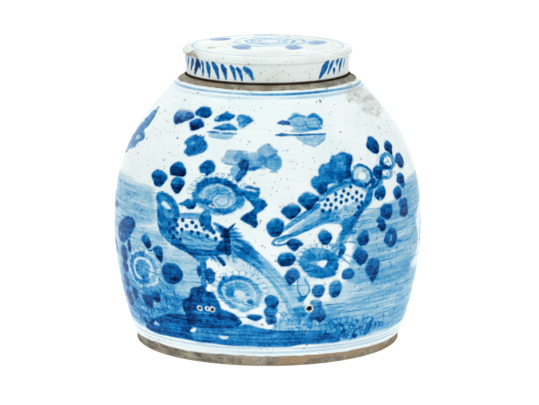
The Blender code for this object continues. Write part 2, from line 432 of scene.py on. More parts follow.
LEAVES_RIGHT = (
    ([(46.4, 169.5), (48.2, 173.5), (50, 176.4), (52.8, 175), (54.5, 170.5), (53.3, 165.2), (50.5, 163.3),
      (48, 165.5)], 1.0, 0.15, 0.0),
    ([(57.4, 165.2), (59.5, 169.5), (62.3, 170), (64.2, 166.3), (62.8, 162.8), (61, 159.5), (59.3, 162.5)],
     0.9, 0.25, 0.0),
    ([(16.7, 147.5), (18, 151.8), (20.1, 152.7), (20.3, 157), (22.2, 160.8), (25.3, 161.5), (27, 165.8),
      (30, 167), (32.3, 168.4), (34.5, 166.8), (36.8, 165.3), (36.5, 161.5), (34.8, 157), (34, 149),
      (31, 148), (29, 146), (24, 146), (22.5, 141), (20.5, 138.6), (18.2, 142.5)], 0.62, 0.12, 0.0),
    ([(32.5, 150), (32.8, 158), (33.8, 165.5), (35.6, 166.2), (36.8, 163), (35.6, 159.6), (34.6, 156),
      (34.2, 149)], 0.7, 0.1, 0.0),
    ([(20.3, 145.6), (23.2, 145.6), (22.4, 141), (20.6, 138.8), (19.2, 141)], 0.5, 0.1, 0.0),
    ([(28, 146), (28.5, 152.5), (32.5, 154), (34.2, 150), (31, 148)], 0.4, 0.1, 0.0),
    ([(11.2, 135), (12.8, 139.5), (15, 141.2), (17, 140), (19.3, 136), (17.5, 131), (15.2, 127),
      (13, 130.5)], 0.88, 0.32, 0.0),
    ([(4.9, 127.2), (6.5, 130.5), (8.8, 133.2), (11, 131.5), (12.2, 127.5), (10.5, 122.8), (8.3, 120.4),
      (6.2, 123.5)], 0.86, 0.3, 0.0),
    ([(-0.4, 115.5), (0.8, 119.8), (2.8, 121.7), (5.2, 120.5), (5.9, 117), (5.2, 110.5), (3, 107),
      (0.8, 109.2)], 0.86, 0.3, 0.0),
    ([(6.8, 102.5), (8.5, 105.5), (10.3, 105.3), (12.9, 101.5), (11.3, 98.5), (9.7, 95.8), (8, 98)], 1.05,
     0.2, 0.1),
    ([(18.4, 106.5), (19.3, 110.6), (20.8, 111.5), (22.8, 108.5), (23.8, 105), (22.7, 101), (21.2, 99.5),
      (19.6, 101.5)], 0.9, 0.35, 0.0),
    ([(6.2, 76), (7.5, 81), (9.3, 82.7), (11.3, 79), (11.9, 75), (10, 71.5), (8.2, 68.6), (7, 71.5)], 0.72,
     0.35, 0.25),
    ([(32.3, 88.5), (33.5, 92.5), (35.2, 94.7), (37.6, 91.5), (39.2, 86.5), (37.8, 82), (35.8, 79.7),
      (33.6, 84)], 0.74, 0.3, 0.1),
    ([(38.1, 75.5), (39.5, 82.5), (42, 83.8), (44.8, 80.5), (45.2, 74), (43.8, 67), (42.3, 63.8),
      (40.3, 69)], 0.7, 0.25, 0.3),
    ([(47.2, 96), (49.5, 103), (51.5, 105.2), (54, 102.5), (55.3, 97), (54.5, 92.5), (52, 89), (49.5, 92)],
     0.72, 0.15, 0.05),
    ([(43.3, 111.5), (44.8, 115.8), (47, 114), (48.6, 108.5), (47.5, 104.3), (45.5, 105.3)], 0.92, 0.3,
     0.0),
    ([(16, 54), (18.5, 55.2), (20.4, 53.5), (20.8, 49.5), (22.6, 43.5), (22.3, 38.5), (20.5, 36),
      (18.8, 38), (15.5, 40.5), (16.8, 47)], 0.62, 0.25, 0.35),
    ([(43.9, 134), (46, 138.5), (49.5, 139.2), (50.4, 135), (49, 130), (46.5, 128.7), (44.5, 130.5)], 0.84,
     0.3, 0.0),
)
# Rounder leaf marks: (degrees, mm, half width in degrees, half height in mm, tone, pool, grey).
ROUND_LEAVES = (
    (66, 153.8, 3.9, 5.5, 0.88, 0.1, 0.1), (48, 149.8, 2.7, 4.9, 1.0, 0.25, 0.0),
    (62, 140.8, 3.3, 4.6, 0.84, 0.2, 0.0), (62.6, 136.2, 2.3, 3.2, 0.6, 0.1, 0.0),
    (57.8, 131, 3.1, 5.1, 0.86, 0.2, 0.0), (49.3, 119, 3.5, 6.4, 0.86, 0.25, 0.0),
    (61, 121.8, 3.6, 3.8, 0.78, 0.15, 0.05), (61.2, 115.3, 3.6, 5.2, 0.72, 0.2, 0.15),
    (6.6, 89.3, 3.3, 6.2, 0.84, 0.35, 0.0), (19, 62.4, 2.6, 5.2, 0.72, 0.3, 0.2),
    (25.6, 63.5, 2.5, 7.4, 0.7, 0.3, 0.2), (30.5, 74.3, 2.6, 4.6, 0.74, 0.25, 0.2),
    (37, 101.2, 2.8, 5.6, 0.9, 0.3, 0.0), (1.6, 55.5, 2.7, 5.2, 0.72, 0.1, 0.1),
    (1.2, 47.2, 2.5, 5.0, 0.66, 0.1, 0.1), (1.4, 40, 2.3, 3.8, 0.74, 0.2, 0.3),
    (-21.2, 74.5, 1.9, 6.6, 0.82, 0.1, 0.1), (-25.6, 77.8, 0.9, 4.2, 0.8, 0.1, 0.0),
    (-62.6, 47.5, 2.4, 5.2, 0.82, 0.1, 0.1), (-67.6, 78, 3.2, 7.2, 0.74, 0.1, 0.08),
    (-68.2, 67, 3.2, 4.6, 0.74, 0.1, 0.05), (-69.5, 55, 3.4, 5.2, 0.66, 0.1, 0.1),
    (-70, 40.5, 4.2, 7.5, 0.6, 0.1, 0.2), (-79, 114.5, 4.6, 3.2, 0.5, 0.0, 0.4),
    (-80, 80, 4.5, 5.5, 0.4, 0.0, 0.3),
)
# The dark dots on the birds' backs: (degrees, mm).
BIRD_ONE_DOTS = (
    (-38.2, 112.5), (-38, 105.8), (-36.1, 102.6), (-36.3, 109.2), (-35.3, 115.6), (-34.6, 112.1),
    (-34.5, 105.8), (-33, 101.3), (-32.5, 109), (-32.2, 117), (-30.5, 112.5), (-28.2, 115.9),
    (-28.3, 108.3), (-26.6, 112.8), (-25.7, 107.8), (-24.3, 114.8), (-23.3, 111.3), (-22, 106.2),
    (-19.6, 109.4), (-18.8, 104.6), (-16.8, 101.6), (-16.5, 107),
)
BIRD_TWO_DOTS = (
    (20.5, 126.3), (21.6, 130.3), (23.9, 130.3), (23.3, 125.8), (22.8, 134.3), (25.9, 127.5), (26, 133.6),
    (26.2, 138), (28.2, 131.3), (28.6, 135.8), (30.5, 132.5), (29.8, 139.7), (31.6, 137.2), (33.2, 134),
    (33, 142.3), (35.4, 137.3), (37.4, 134.3), (35, 131.7), (37.1, 129.2), (35.5, 126),
)


def paint_lake(c):
    """Thin level washes behind the lower half, and the white bands left in them."""
    for tone, soft, outline in (
            (0.24, 4.4, [(-112, 134), (-72, 138), (-58, 137), (-49, 136), (-46, 124), (-46, 112),
                         (-60, 106), (-80, 108), (-112, 102)]),
            (0.19, 2.4, [(-112, 112), (-60, 107), (-44, 106), (-38, 95), (-28, 91), (-25, 80), (-26, 64),
                         (-40, 60), (-64, 58), (-112, 56)]),
            (0.38, 4.0, [(-76, 62), (-64, 60), (-44, 62), (-32, 58), (-31, 42), (-44, 30), (-58, 22),
                         (-94, 21), (-106, 27), (-90, 33), (-98, 40), (-82, 45), (-90, 51)]),
            (0.25, 2.6, [(34, 119), (44, 123), (54, 126), (62, 134), (74, 139), (92, 136), (112, 128),
                         (140, 122), (140, 19), (90, 20), (52, 19), (26, 20), (22, 34), (24, 50), (30, 62),
                         (31, 80), (33, 96), (31, 106)]),
            (0.25, 2.6, [(132, 124), (170, 126), (205, 130), (235, 126), (262, 134), (276, 134), (268, 126),
                         (277, 117), (269, 109), (279, 100), (268, 91), (277, 82), (268, 73), (280, 64),
                         (270, 56), (281, 48), (270, 40), (280, 31), (272, 21), (180, 19), (132, 20)])):
        c.wash(outline, tone, 0.55, soft, 0.06, 14, merge=True)
    c.wash([(-72, 84), (-56, 86), (-45, 78), (-35, 71), (-33, 60), (-60, 55), (-73, 62)], 0.11, 0.5, 3.0,
           0.05, 19)
    c.wash([(46, 74), (64, 75), (66, 66), (62, 61), (46, 63), (41, 68)], 0.12, 0.5, 1.8, 0.1, 16)
    c.wash([(-16, 96), (-9, 90), (-2, 80), (4, 68), (8, 54), (8, 44), (2, 50), (-4, 70), (-12, 82),
            (-20, 86)], 0.08, 0.5, 1.8, 0.0, 17)
    c.wash([(7, 46), (16, 50), (26, 50), (26, 30), (4, 28)], 0.17, 0.6, 3.5, 0.05, 18)
    c.clear([(76, 112), (84, 116), (94, 113), (101, 102), (102, 86), (96, 70), (86, 65), (76, 64), (69, 67),
             (73, 76), (76, 86), (74, 96), (72, 104)], 0.03, 1.8)
    c.clear([(24, 56), (25, 49), (33, 54), (36, 62), (30, 68), (27, 62)], 0.12, 2.2)
    c.clear([(-36, 62), (-34, 63), (-30, 60), (-30, 57), (-34, 56), (-36, 58)], 0.2, 2.4)
    c.curls((-43, -33, 43, 57), 16, 2.6, 0.26, 226, 0.8)


def paint_ground(c):
    """The dark bank with its rock along the foot, and the scribbled grass at its ends."""
    c.wash([(-59, 18.5), (-57, 24), (-53, 29), (-48, 33), (-42, 37), (-33, 39), (-31, 30), (-32, 22),
            (-34, 18)], 0.8, 0.22, 0.7, 0.0, 21)
    c.wash([(-36, 18), (-33, 30), (-16, 33), (-8, 36), (-3, 33), (4, 31), (16, 30), (24, 27), (29, 22),
            (28, 18)], 0.58, 0.42, 0.8, 0.1, 22)
    c.wash([(-34, 18), (-20, 20), (-4, 22), (16, 21), (28, 20), (28, 17.6), (0, 17.6)], 0.22, 0.5, 0.6, 0.1,
           23)
    for left, right, up, tone in ((-46, -33, 31, 0.5), (-34, 2, 26, 0.4), (-10, 20, 23, 0.35),
                                  (-5, 12, 29, 0.35), (-56, -38, 20.5, 0.35), (-30, -8, 21, 0.3),
                                  (4, 26, 26, 0.3)):
        c.stroke([(left, up), ((left + right) / 2, up + 0.6), (right, up)], 1.5, tone, (0.3, 0.2), 0.1)
    c.dab([(-34, 47), (-33.2, 52), (-30.5, 56), (-29.5, 62), (-26.5, 64.5), (-24, 64.5), (-22.6, 61.4),
           (-20, 61), (-18.6, 55), (-17.3, 48), (-13, 44.5), (-11, 41), (-10, 36), (-14, 32.5), (-24, 30.5),
           (-32, 31), (-33, 38)], 0.82, 0.08, (-0.6, -0.5), 0.05, 0.14)
    for line, width, tone in (([(-33, 52), (-28, 53.5), (-22, 53)], 3.2, 0.35),
                              ([(-29.5, 60), (-25, 60.5), (-20.5, 59.6)], 2.4, 0.4),
                              ([(-31.5, 46), (-31, 38), (-30, 31)], 5.0, 0.4),
                              ([(-29.5, 57), (-30.5, 50), (-31.4, 44)], 2.6, 0.35)):
        c.stroke(line, width, tone, (0.4, 0.3))
    for left, right, up in ((-52, -40, 27), (-44, -31, 23.4), (-30, -13, 27.4), (-14, 6, 25), (-4, 18, 21.6),
                            (-29, -17, 20.4), (-46, -37, 34), (-30, -20, 43), (-28, -16, 38), (-16, -4, 30)):
        c.stroke([(left, up), ((left + right) / 2, up + 0.5), (right, up - 0.3)], 1.0, 0.5, (0.4, 0.2),
                 wipe=True)
    c.clear([(-32.4, 25.2), (-31.2, 28.4), (-29.5, 29.2), (-29.6, 27), (-30.6, 25.6)], 0.02, 0.5)
    c.clear([(-19.4, 24.8), (-17, 24.6), (-15.5, 24.6), (-16.2, 22.2), (-18.4, 21.8)], 0.06, 0.5)
    c.clear([(-52.3, 25.2), (-51, 28.6), (-49.6, 27.6), (-48.8, 25.4)], 0.2, 0.7)
    c.clear([(-11, 34), (-8, 36.2), (-4, 34.6), (-1, 33), (-1.5, 36), (-4, 38.8), (-8, 38.4)], 0.04, 0.8)
    for line, count, reach, tone, seed in (
            ([(-68, 44), (-60, 36), (-54, 31)], 15, 5.5, 0.42, 31),
            ([(-68, 34), (-62, 28), (-57, 25)], 12, 5.0, 0.42, 32),
            ([(-60, 44), (-52, 39), (-44, 41)], 16, 5.5, 0.42, 33),
            ([(-54, 52), (-46, 46), (-38, 46)], 16, 5.5, 0.4, 34),
            ([(-46, 58), (-42, 53), (-36, 52)], 12, 5.0, 0.44, 35),
            ([(-45, 68), (-42, 62), (-37, 58)], 10, 4.6, 0.42, 36),
            ([(2, 38), (10, 42), (20, 38)], 17, 6.0, 0.3, 37),
            ([(8, 32), (18, 34), (28, 33)], 17, 6.0, 0.34, 38),
            ([(-22, 31), (-12, 31), (2, 32)], 14, 4.0, 0.3, 39)):
        c.combs(line, count, reach, tone, seed)
    c.curls((22, 35, 21, 37), 26, 3.4, 0.4, 40)
    c.curls((28, 36, 19, 31), 14, 2.4, 0.55, 41, 1.2)
    c.wash([(20, 34), (34, 35), (50, 30), (50, 21), (30, 18), (20, 20)], 0.14, 0.6, 3.5, 0.05, 42)
    c.stroke([(39.8, 27), (37.8, 26), (36.8, 23.5), (36.4, 21)], 1.4, 0.7)
    c.dab(oval(37.4, 20.6, 1.4, 2.0, 0, 3), 0.72, 0.2)
    c.stroke([(39.6, 25), (40.6, 22), (41.4, 19.6)], 1.2, 0.5)
    c.dab(oval(44, 25, 1.7, 6.2, 0.6, 4), 0.5, 0.1)
    c.stroke([(47, 28.6), (50, 28.6), (51, 25), (50.4, 21)], 1.3, 0.42)
    c.stroke([(45.5, 30), (46, 31), (45, 31)], 2.0, 0.5)


def paint_flowers(c):
    """The ring flowers of the front and its edges, each with its own rings and inner marks."""
    c.flower((-18.6, 137.5), (10.2, 13.6), ((0.7, 1.0, 0.54, 64), (0.58, 0.76, 0.14, 60),
                                            (0.0, 0.56, 0.2, 56)), 1.16, -8, 15, 41, 95.0, 0.5)
    c.dab([(-28, 133), (-26, 131.2), (-22, 130.4), (-20.6, 133), (-22.4, 134.8), (-26, 134.6)], 0.5, 0.2)
    c.clear([(-26.4, 137), (-24.6, 138.8), (-23.3, 137), (-24.7, 135)], 0.2, 0.8)
    c.clear([(-20.4, 134), (-19.6, 137.8), (-17, 138.6), (-14.6, 136.4), (-14.4, 132.6), (-16.6, 130),
             (-19.4, 130.8)], 0.14, 0.8)
    for wide, tall, bumps in ((2.2, 3.2, 5), (3.9, 5.4, 8), (5.6, 7.6, 11)):
        c.scallops((-16.8, 133.6), (wide, tall), bumps, 0.6, 0.42)
    c.dab([(-20, 127.6), (-17, 128.6), (-13, 128), (-13.4, 125.4), (-17, 124.6)], 0.42, 0.0)
    c.flower((-53.4, 71.5), (9.2, 14.2), ((0.7, 0.98, 0.42, 60), (0.02, 0.54, 0.42, 50)), 1.2, 10, 9, 42,
             140.0, 0.4)
    c.dab([(-55, 60.5), (-51.5, 60), (-49.5, 64), (-51, 68), (-54, 65.5)], 0.4, 0.1)
    c.dab([(-54.6, 82.4), (-51.8, 82), (-52, 85), (-54.4, 85.2)], 0.6, 0.0)
    c.flower((-10.2, 62), (8.4, 14.4), ((0.74, 1.0, 0.4, 60), (0.6, 0.76, 0.08, 50), (0.0, 0.62, 0.24, 50)),
             1.2, -14, 12, 43, 150.0, 0.5)
    c.clear([(-12.4, 61), (-11.4, 64.4), (-9.2, 63.6), (-7.8, 60.4), (-9, 57.8), (-11.2, 58.2)], 0.06, 0.8)
    c.dab([(-15.6, 60), (-14.8, 64.6), (-12.2, 66), (-12.4, 62), (-13, 58.6)], 0.34, 0.0)
    c.stroke([(-8.2, 60.4), (-7.4, 61), (-6.4, 60.2)], 1.7, 0.4)
    c.clear(oval(-6.9, 55.6, 2.1, 3.4, 0, 5), 0.1, 0.6)
    c.dab(oval(-6.3, 55, 1.2, 2.1, 0, 6), 0.6, 0.1)
    c.stroke([(-9.4, 55.6), (-8.6, 52.8), (-6.4, 51.8), (-4.6, 53.6)], 1.0, 0.4)
    c.flower((18.9, 85), (7.9, 12.6), ((0.14, 0.98, 0.56, 60),), 1.24, -16, 13, 44, -60.0, 0.12)
    c.clear([(18.9, 83.6), (19.2, 86.6), (20.6, 87.6), (21.9, 86.4), (21.2, 82.6), (20, 81.6)], 0.0, 0.5)
    c.clear([(15.8, 86), (17.2, 87.6), (18.4, 86.4), (17.2, 84.4)], 0.3, 0.8)
    c.flower((88.4, 90), (9.4, 17.0), ((0.72, 1.0, 0.46, 50), (0.0, 0.52, 0.3, 40)), 1.0, 12, 0, 47)
    c.flower((-103, 86), (9.4, 15.0), ((0.7, 1.0, 0.46, 50), (0.0, 0.54, 0.26, 40)), 1.3, -8, 9, 48)
    c.dab([(84.6, 124), (84, 131), (85.4, 138), (88, 140), (90.4, 134), (89, 127), (86.6, 122.6)], 0.74, 0.2)
    c.flower((56.4, 156.0), (5.6, 6.6), ((0.52, 1.0, 0.46, 36),), 1.0, 0, 0, 45, 200.0, 0.35)
    c.dab([(49.8, 154.6), (52, 157.8), (54.4, 154), (57.6, 151.4), (54.6, 150.4), (50.6, 151.8)], 0.45, 0.1)
    c.flower((53, 147.8), (4.8, 4.9), ((0.5, 1.0, 0.38, 30),), 1.0, 0, 0, 46, 200.0, 0.3)
    c.curls((53, 60, 152, 160), 10, 2.4, 0.4, 221, 0.8)
    c.curls((50, 57, 145, 151), 8, 2.2, 0.36, 222, 0.8)
    c.stroke([(49, 145), (46, 141), (44.6, 138)], 2.2, 0.5)
    c.stroke([(48.6, 157), (51.4, 160.6), (55, 161.8), (59, 161)], 0.8, 0.25)


def paint_clouds(c):
    """Drifting clouds, and the leaf that shows at the left edge of the front."""
    c.wash([(10, 193), (12, 196), (15, 197.2), (19, 195.6), (21.4, 195), (24, 197), (27, 194.6), (28, 191),
            (26.4, 187.5), (25.5, 184.8), (20, 184.4), (14, 184.8), (10, 185.6), (11.6, 188), (9.4, 190.4)],
           0.22, 0.4, 0.5, 0.05, 51)
    c.stroke([(10.6, 193.6), (14.5, 196), (19, 195.2)], 2.0, 0.34, (0.4, 0.5))
    c.stroke([(20.6, 194.4), (24, 195.6), (26.6, 193), (26.6, 189.6)], 3.6, 0.4, (0.5, 0.5))
    c.stroke([(18.6, 192), (19.4, 187.6), (24.6, 186.6), (25, 190)], 2.0, 0.34)
    c.stroke([(12, 195), (12.4, 191), (14.4, 188.6), (17.6, 188.2)], 0.9, 0.24, (0.7, 0.6))
    c.stroke([(14, 186.4), (20, 186), (26, 186.6)], 2.2, 0.22, (0.6, 0.6))
    c.clear([(19.8, 190.2), (21.2, 192.6), (24, 191.8), (23.4, 188.8), (21, 188.4)], 0.26, 0.8)
    c.stroke([(5, 191.3), (7.2, 191.6), (10.2, 191)], 3.4, 0.72, (0.3, 0.7), 0.6)
    c.stroke([(3.8, 182.9), (7.6, 183), (15, 182.6), (27, 182.2)], 1.0, 0.85, (0.8, 0.8), 0.3)
    c.stroke([(4, 182.9), (6.6, 183.1), (9.6, 182.8)], 2.6, 0.6, (0.2, 0.2), 0.6)
    c.wash([(12.8, 180.6), (16, 176.4), (20, 173), (24, 176), (26.3, 180), (25.6, 182), (14.5, 182.3)],
           0.17, 0.3, 0.6, 0.0, 52)
    c.stroke([(13.4, 180.4), (16, 177.2), (20, 174.6), (24, 176.6), (26, 180)], 1.0, 0.14, (0.7, 0.7))
    c.stroke([(16.6, 180.6), (19.4, 178.6), (22.6, 180.8)], 0.8, 0.16, (0.7, 0.7))
    for across, up, wide, tall, tone, grey, seed in (
            (-14.2, 166.2, 4.7, 5.3, 0.18, 0.45, 53), (-10.6, 167.4, 3.2, 4.0, 0.2, 0.4, 54),
            (-6, 164.6, 4.9, 7.0, 0.26, 0.2, 55), (-0.2, 171.6, 4.0, 4.8, 0.28, 0.35, 56),
            (2.2, 163.2, 3.9, 5.9, 0.38, 0.15, 57), (-2.2, 163.6, 2.2, 5.4, 0.2, 0.2, 58),
            (-7.2, 161, 3.4, 3.2, 0.2, 0.1, 59)):
        c.wash(oval(across, up, wide, tall, 0.0, seed), tone, 0.2, 0.7, grey, seed)
    c.stroke([(-8, 158.6), (-5.4, 158.6), (-2.4, 160)], 2.6, 0.4, (0.4, 0.3))
    c.stroke([(-17.4, 162), (-14, 161.2), (-11.6, 161)], 0.9, 0.42, (0.5, 0.8), 0.3)
    c.dab([(-12, 162), (-9.6, 165.3), (-7.7, 164), (-7.8, 158.5), (-8.5, 154), (-10.5, 150), (-11.9, 148.8),
           (-12.2, 153.5), (-11, 158)], 0.78, 0.1, (0.6, -0.4), 0.15)
    c.wash([(-14, 160), (-11.6, 160.4), (-11.2, 153), (-12, 149), (-13.5, 151), (-14.2, 155.5)],
           0.26, 0.3, 0.5, 0.0, 57)
    c.wash([(-73, 193), (-70, 190.4), (-69, 181), (-71.4, 176), (-67.4, 172.4), (-66, 170.5), (-70, 166),
            (-74, 160.6), (-80, 157), (-87, 151), (-94, 147), (-98, 152), (-93, 158), (-90, 165), (-86, 169),
            (-84, 176), (-80, 182), (-77, 188)], 0.44, 0.2, 0.9, 0.55, 58)
    c.stroke([(-92, 154), (-86, 161), (-80, 169), (-77, 178)], 2.6, 0.26, (0.4, 0.3), 0.5)
    c.stroke([(-70.4, 190), (-69.8, 183), (-71.5, 177)], 2.4, 0.3, (0.4, 0.4), 0.6)
    c.stroke([(-76, 173), (-71, 172.6), (-66.8, 170.6), (-70, 167.6)], 2.6, 0.36, (0.4, 0.5), 0.6)
    c.clear([(-77, 170), (-72.4, 171), (-71.8, 169), (-76, 167)], 0.14, 0.8)


def paint_bird_one(c):
    """The standing bird on the left: hooked head, spotted back, crest and long falling tail."""
    c.clear([(-36, 118), (-25, 120), (-21, 113), (-16, 104), (-18, 97), (-33, 98), (-36, 106)], 0.03, 1.0)
    c.wash([(-34, 106), (-29, 109), (-24, 108), (-18, 103), (-15, 99), (-16, 95), (-24, 93), (-33, 94),
            (-37, 99)], 0.3, 0.4, 0.8, 0.0, 61)
    c.wash([(-35, 117), (-33, 121.4), (-29, 123), (-24.6, 122.4), (-24.2, 118.2), (-28.4, 119), (-33, 118.4)],
           0.36, 0.5, 0.6, 0.1, 60)
    c.dab([(-46, 131), (-45, 135.2), (-42, 136), (-38.2, 133.8), (-35.4, 129), (-33.8, 122), (-34, 117.6),
           (-35.8, 114), (-34.8, 109), (-35.2, 103.4), (-33, 99.6), (-30.4, 95.4), (-33, 93.4), (-38, 97.2),
           (-41.6, 102.6), (-43.8, 110), (-44.5, 119), (-44.8, 126)], 0.62, 0.02)
    c.clear([(-42.6, 126.4), (-41.8, 129.2), (-39.6, 127.8), (-37.8, 124.4), (-40, 123.6)], 0.04, 0.7)
    c.clear([(-40.8, 119.6), (-37, 120.4), (-36.2, 117.6), (-39.4, 117)], 0.4, 1.4)
    c.stroke([(-45.6, 130), (-43, 134.6), (-39, 132), (-36, 126), (-35, 119)], 2.4, 0.3, (0.3, 0.4))
    c.stroke([(-44.4, 124), (-43.2, 118), (-41.6, 110)], 3.2, 0.16, (0.4, 0.3))
    c.dab([(-25.4, 117), (-25, 122), (-23.6, 126.2), (-21.8, 125.6), (-20.6, 121), (-20.8, 116),
           (-19.6, 110.6), (-21.4, 109.6), (-23.4, 113.6)], 0.7, 0.2)
    c.dab([(-19, 112.4), (-16.4, 114.4), (-14.4, 109), (-14.2, 97), (-16.6, 94.4), (-18.8, 97.4),
           (-17.2, 101), (-16.2, 105), (-17.4, 109.6)], 0.6, 0.2)
    c.dots(BIRD_ONE_DOTS, 1.55, 1.05)
    c.stroke([(-35.8, 116.8), (-35.2, 114), (-34.2, 111.6)], 3.0, 0.6, (0.7, 0.6))
    c.stroke([(-38.2, 106.6), (-36.8, 109.4), (-35.6, 110.6)], 2.2, 0.55, (0.6, 0.5))
    for line, width, tone in (
            ([(-30, 107), (-27, 104.4), (-23, 104.6)], 3.0, 0.26), ([(-32, 103), (-27, 101)], 2.0, 0.3),
            ([(-25, 98.6), (-21, 98), (-17.4, 100)], 2.0, 0.3),
            ([(-33, 98), (-29, 97), (-25, 98)], 2.4, 0.3),
            ([(-26, 106.6), (-24.4, 103), (-21, 101)], 1.4, 0.28), ([(-22, 104), (-18.6, 101.6)], 1.4, 0.3)):
        c.stroke(line, width, tone)
    c.stroke([(-35, 96.4), (-30, 93.2), (-23, 92.6), (-15, 94.4)], 5.0, 0.66, (0.5, 0.7))
    c.stroke([(-26.4, 95.4), (-21, 94.6), (-17, 96.4)], 2.0, 0.5, (0.4, 0.4))
    c.wash([(-14.6, 113), (-11, 111.6), (-8, 105), (-5, 98.4), (-8, 92), (-12, 90.6), (-15, 94)], 0.3, 0.4,
           1.0, 0.0, 59)
    c.stroke([(-15.2, 112), (-14.6, 104), (-14.2, 94.4)], 5.2, 1.0, (0.6, 1.0))
    c.dab([(-19.6, 115.6), (-18.8, 116.8), (-15.2, 113.6), (-13.4, 110), (-13.6, 105.6), (-15.8, 108),
           (-17.4, 112)], 0.85, 0.1)
    c.stroke([(-11.7, 117.2), (-12.9, 114.6), (-14.6, 111.4)], 2.0, 1.0, (0.3, 1.0))
    for root, tip in (((-14, 112), (-10.4, 113.4)), ((-14, 109), (-9.4, 110)), ((-13.6, 106.4), (-9, 107.2)),
                      ((-13.6, 104), (-8.4, 103.6))):
        c.stroke([root, ((tip[0] + root[0]) / 2, (tip[1] + root[1]) / 2 + 0.4), tip], 2.0, 0.5, (0.9, 0.2))
    tail_over = [(-13.4, 108), (-8.6, 103.6), (-4, 96.5), (1.2, 86), (5.6, 76), (10.6, 66), (13.6, 55),
                 (15.6, 42)]
    tail_under = [(-13.4, 94.6), (-9.6, 89.6), (-5.6, 84.4), (-1.6, 77), (2.2, 68), (5.4, 57), (8.4, 44),
                  (10.4, 33)]
    c.wash([*tail_over, (15, 34), *tail_under[::-1]], 0.08, 0.3, 1.4, 0.0, 62)
    c.feathers(tail_over[:4], tail_under[:4], 17, 1.4, 0.42, 63)
    c.feathers(tail_over[1:6], tail_under[1:6], 13, 1.2, 0.18, 64)
    c.feathers(tail_over[3:], tail_under[3:], 15, 1.0, 0.09, 65)
    c.feathers(tail_over[4:], tail_under[4:], 8, 0.7, 0.17, 66)
    c.wash([(-31, 94), (-22, 92), (-22.4, 84), (-22.6, 64), (-25, 64), (-24.8, 80), (-25.8, 86), (-29, 90)],
           0.5, 0.45, 0.6, 0.05, 67)
    c.stroke([(-30, 92.4), (-26.8, 89), (-25.6, 85)], 2.6, 0.34, (0.6, 0.3))
    c.combs([(-21, 92), (-15, 91), (-9, 88), (-4, 81)], 12, 6.0, 0.24, 68, 1.0, 1.0)
    c.stroke([(-23.4, 66), (-25.6, 64), (-26.6, 61)], 3.0, 0.5)
    c.stroke([(-24.8, 92), (-22.8, 84), (-22.6, 72)], 1.0, 0.35)
    c.stroke([(-18.6, 91.4), (-17.2, 88.4), (-15.8, 84.8)], 3.4, 0.95, (0.3, 0.9))
    c.stroke([(-21.4, 91.6), (-19.4, 88.6), (-18.6, 86.6)], 2.0, 0.5, (0.9, 0.4))
    for root, tip in (
            ((-20, 91), (-18.6, 86.8)), ((-19.2, 91.4), (-17.8, 87.6)), ((-21, 90.6), (-20.4, 87.6)),
            ((-14.6, 91.6), (-14, 88.6)), ((-12.6, 90.4), (-11.8, 87))):
        c.stroke([root, tip, (tip[0] + 0.2, tip[1] - 0.6)], 0.9, 0.5, (0.9, 0.3))


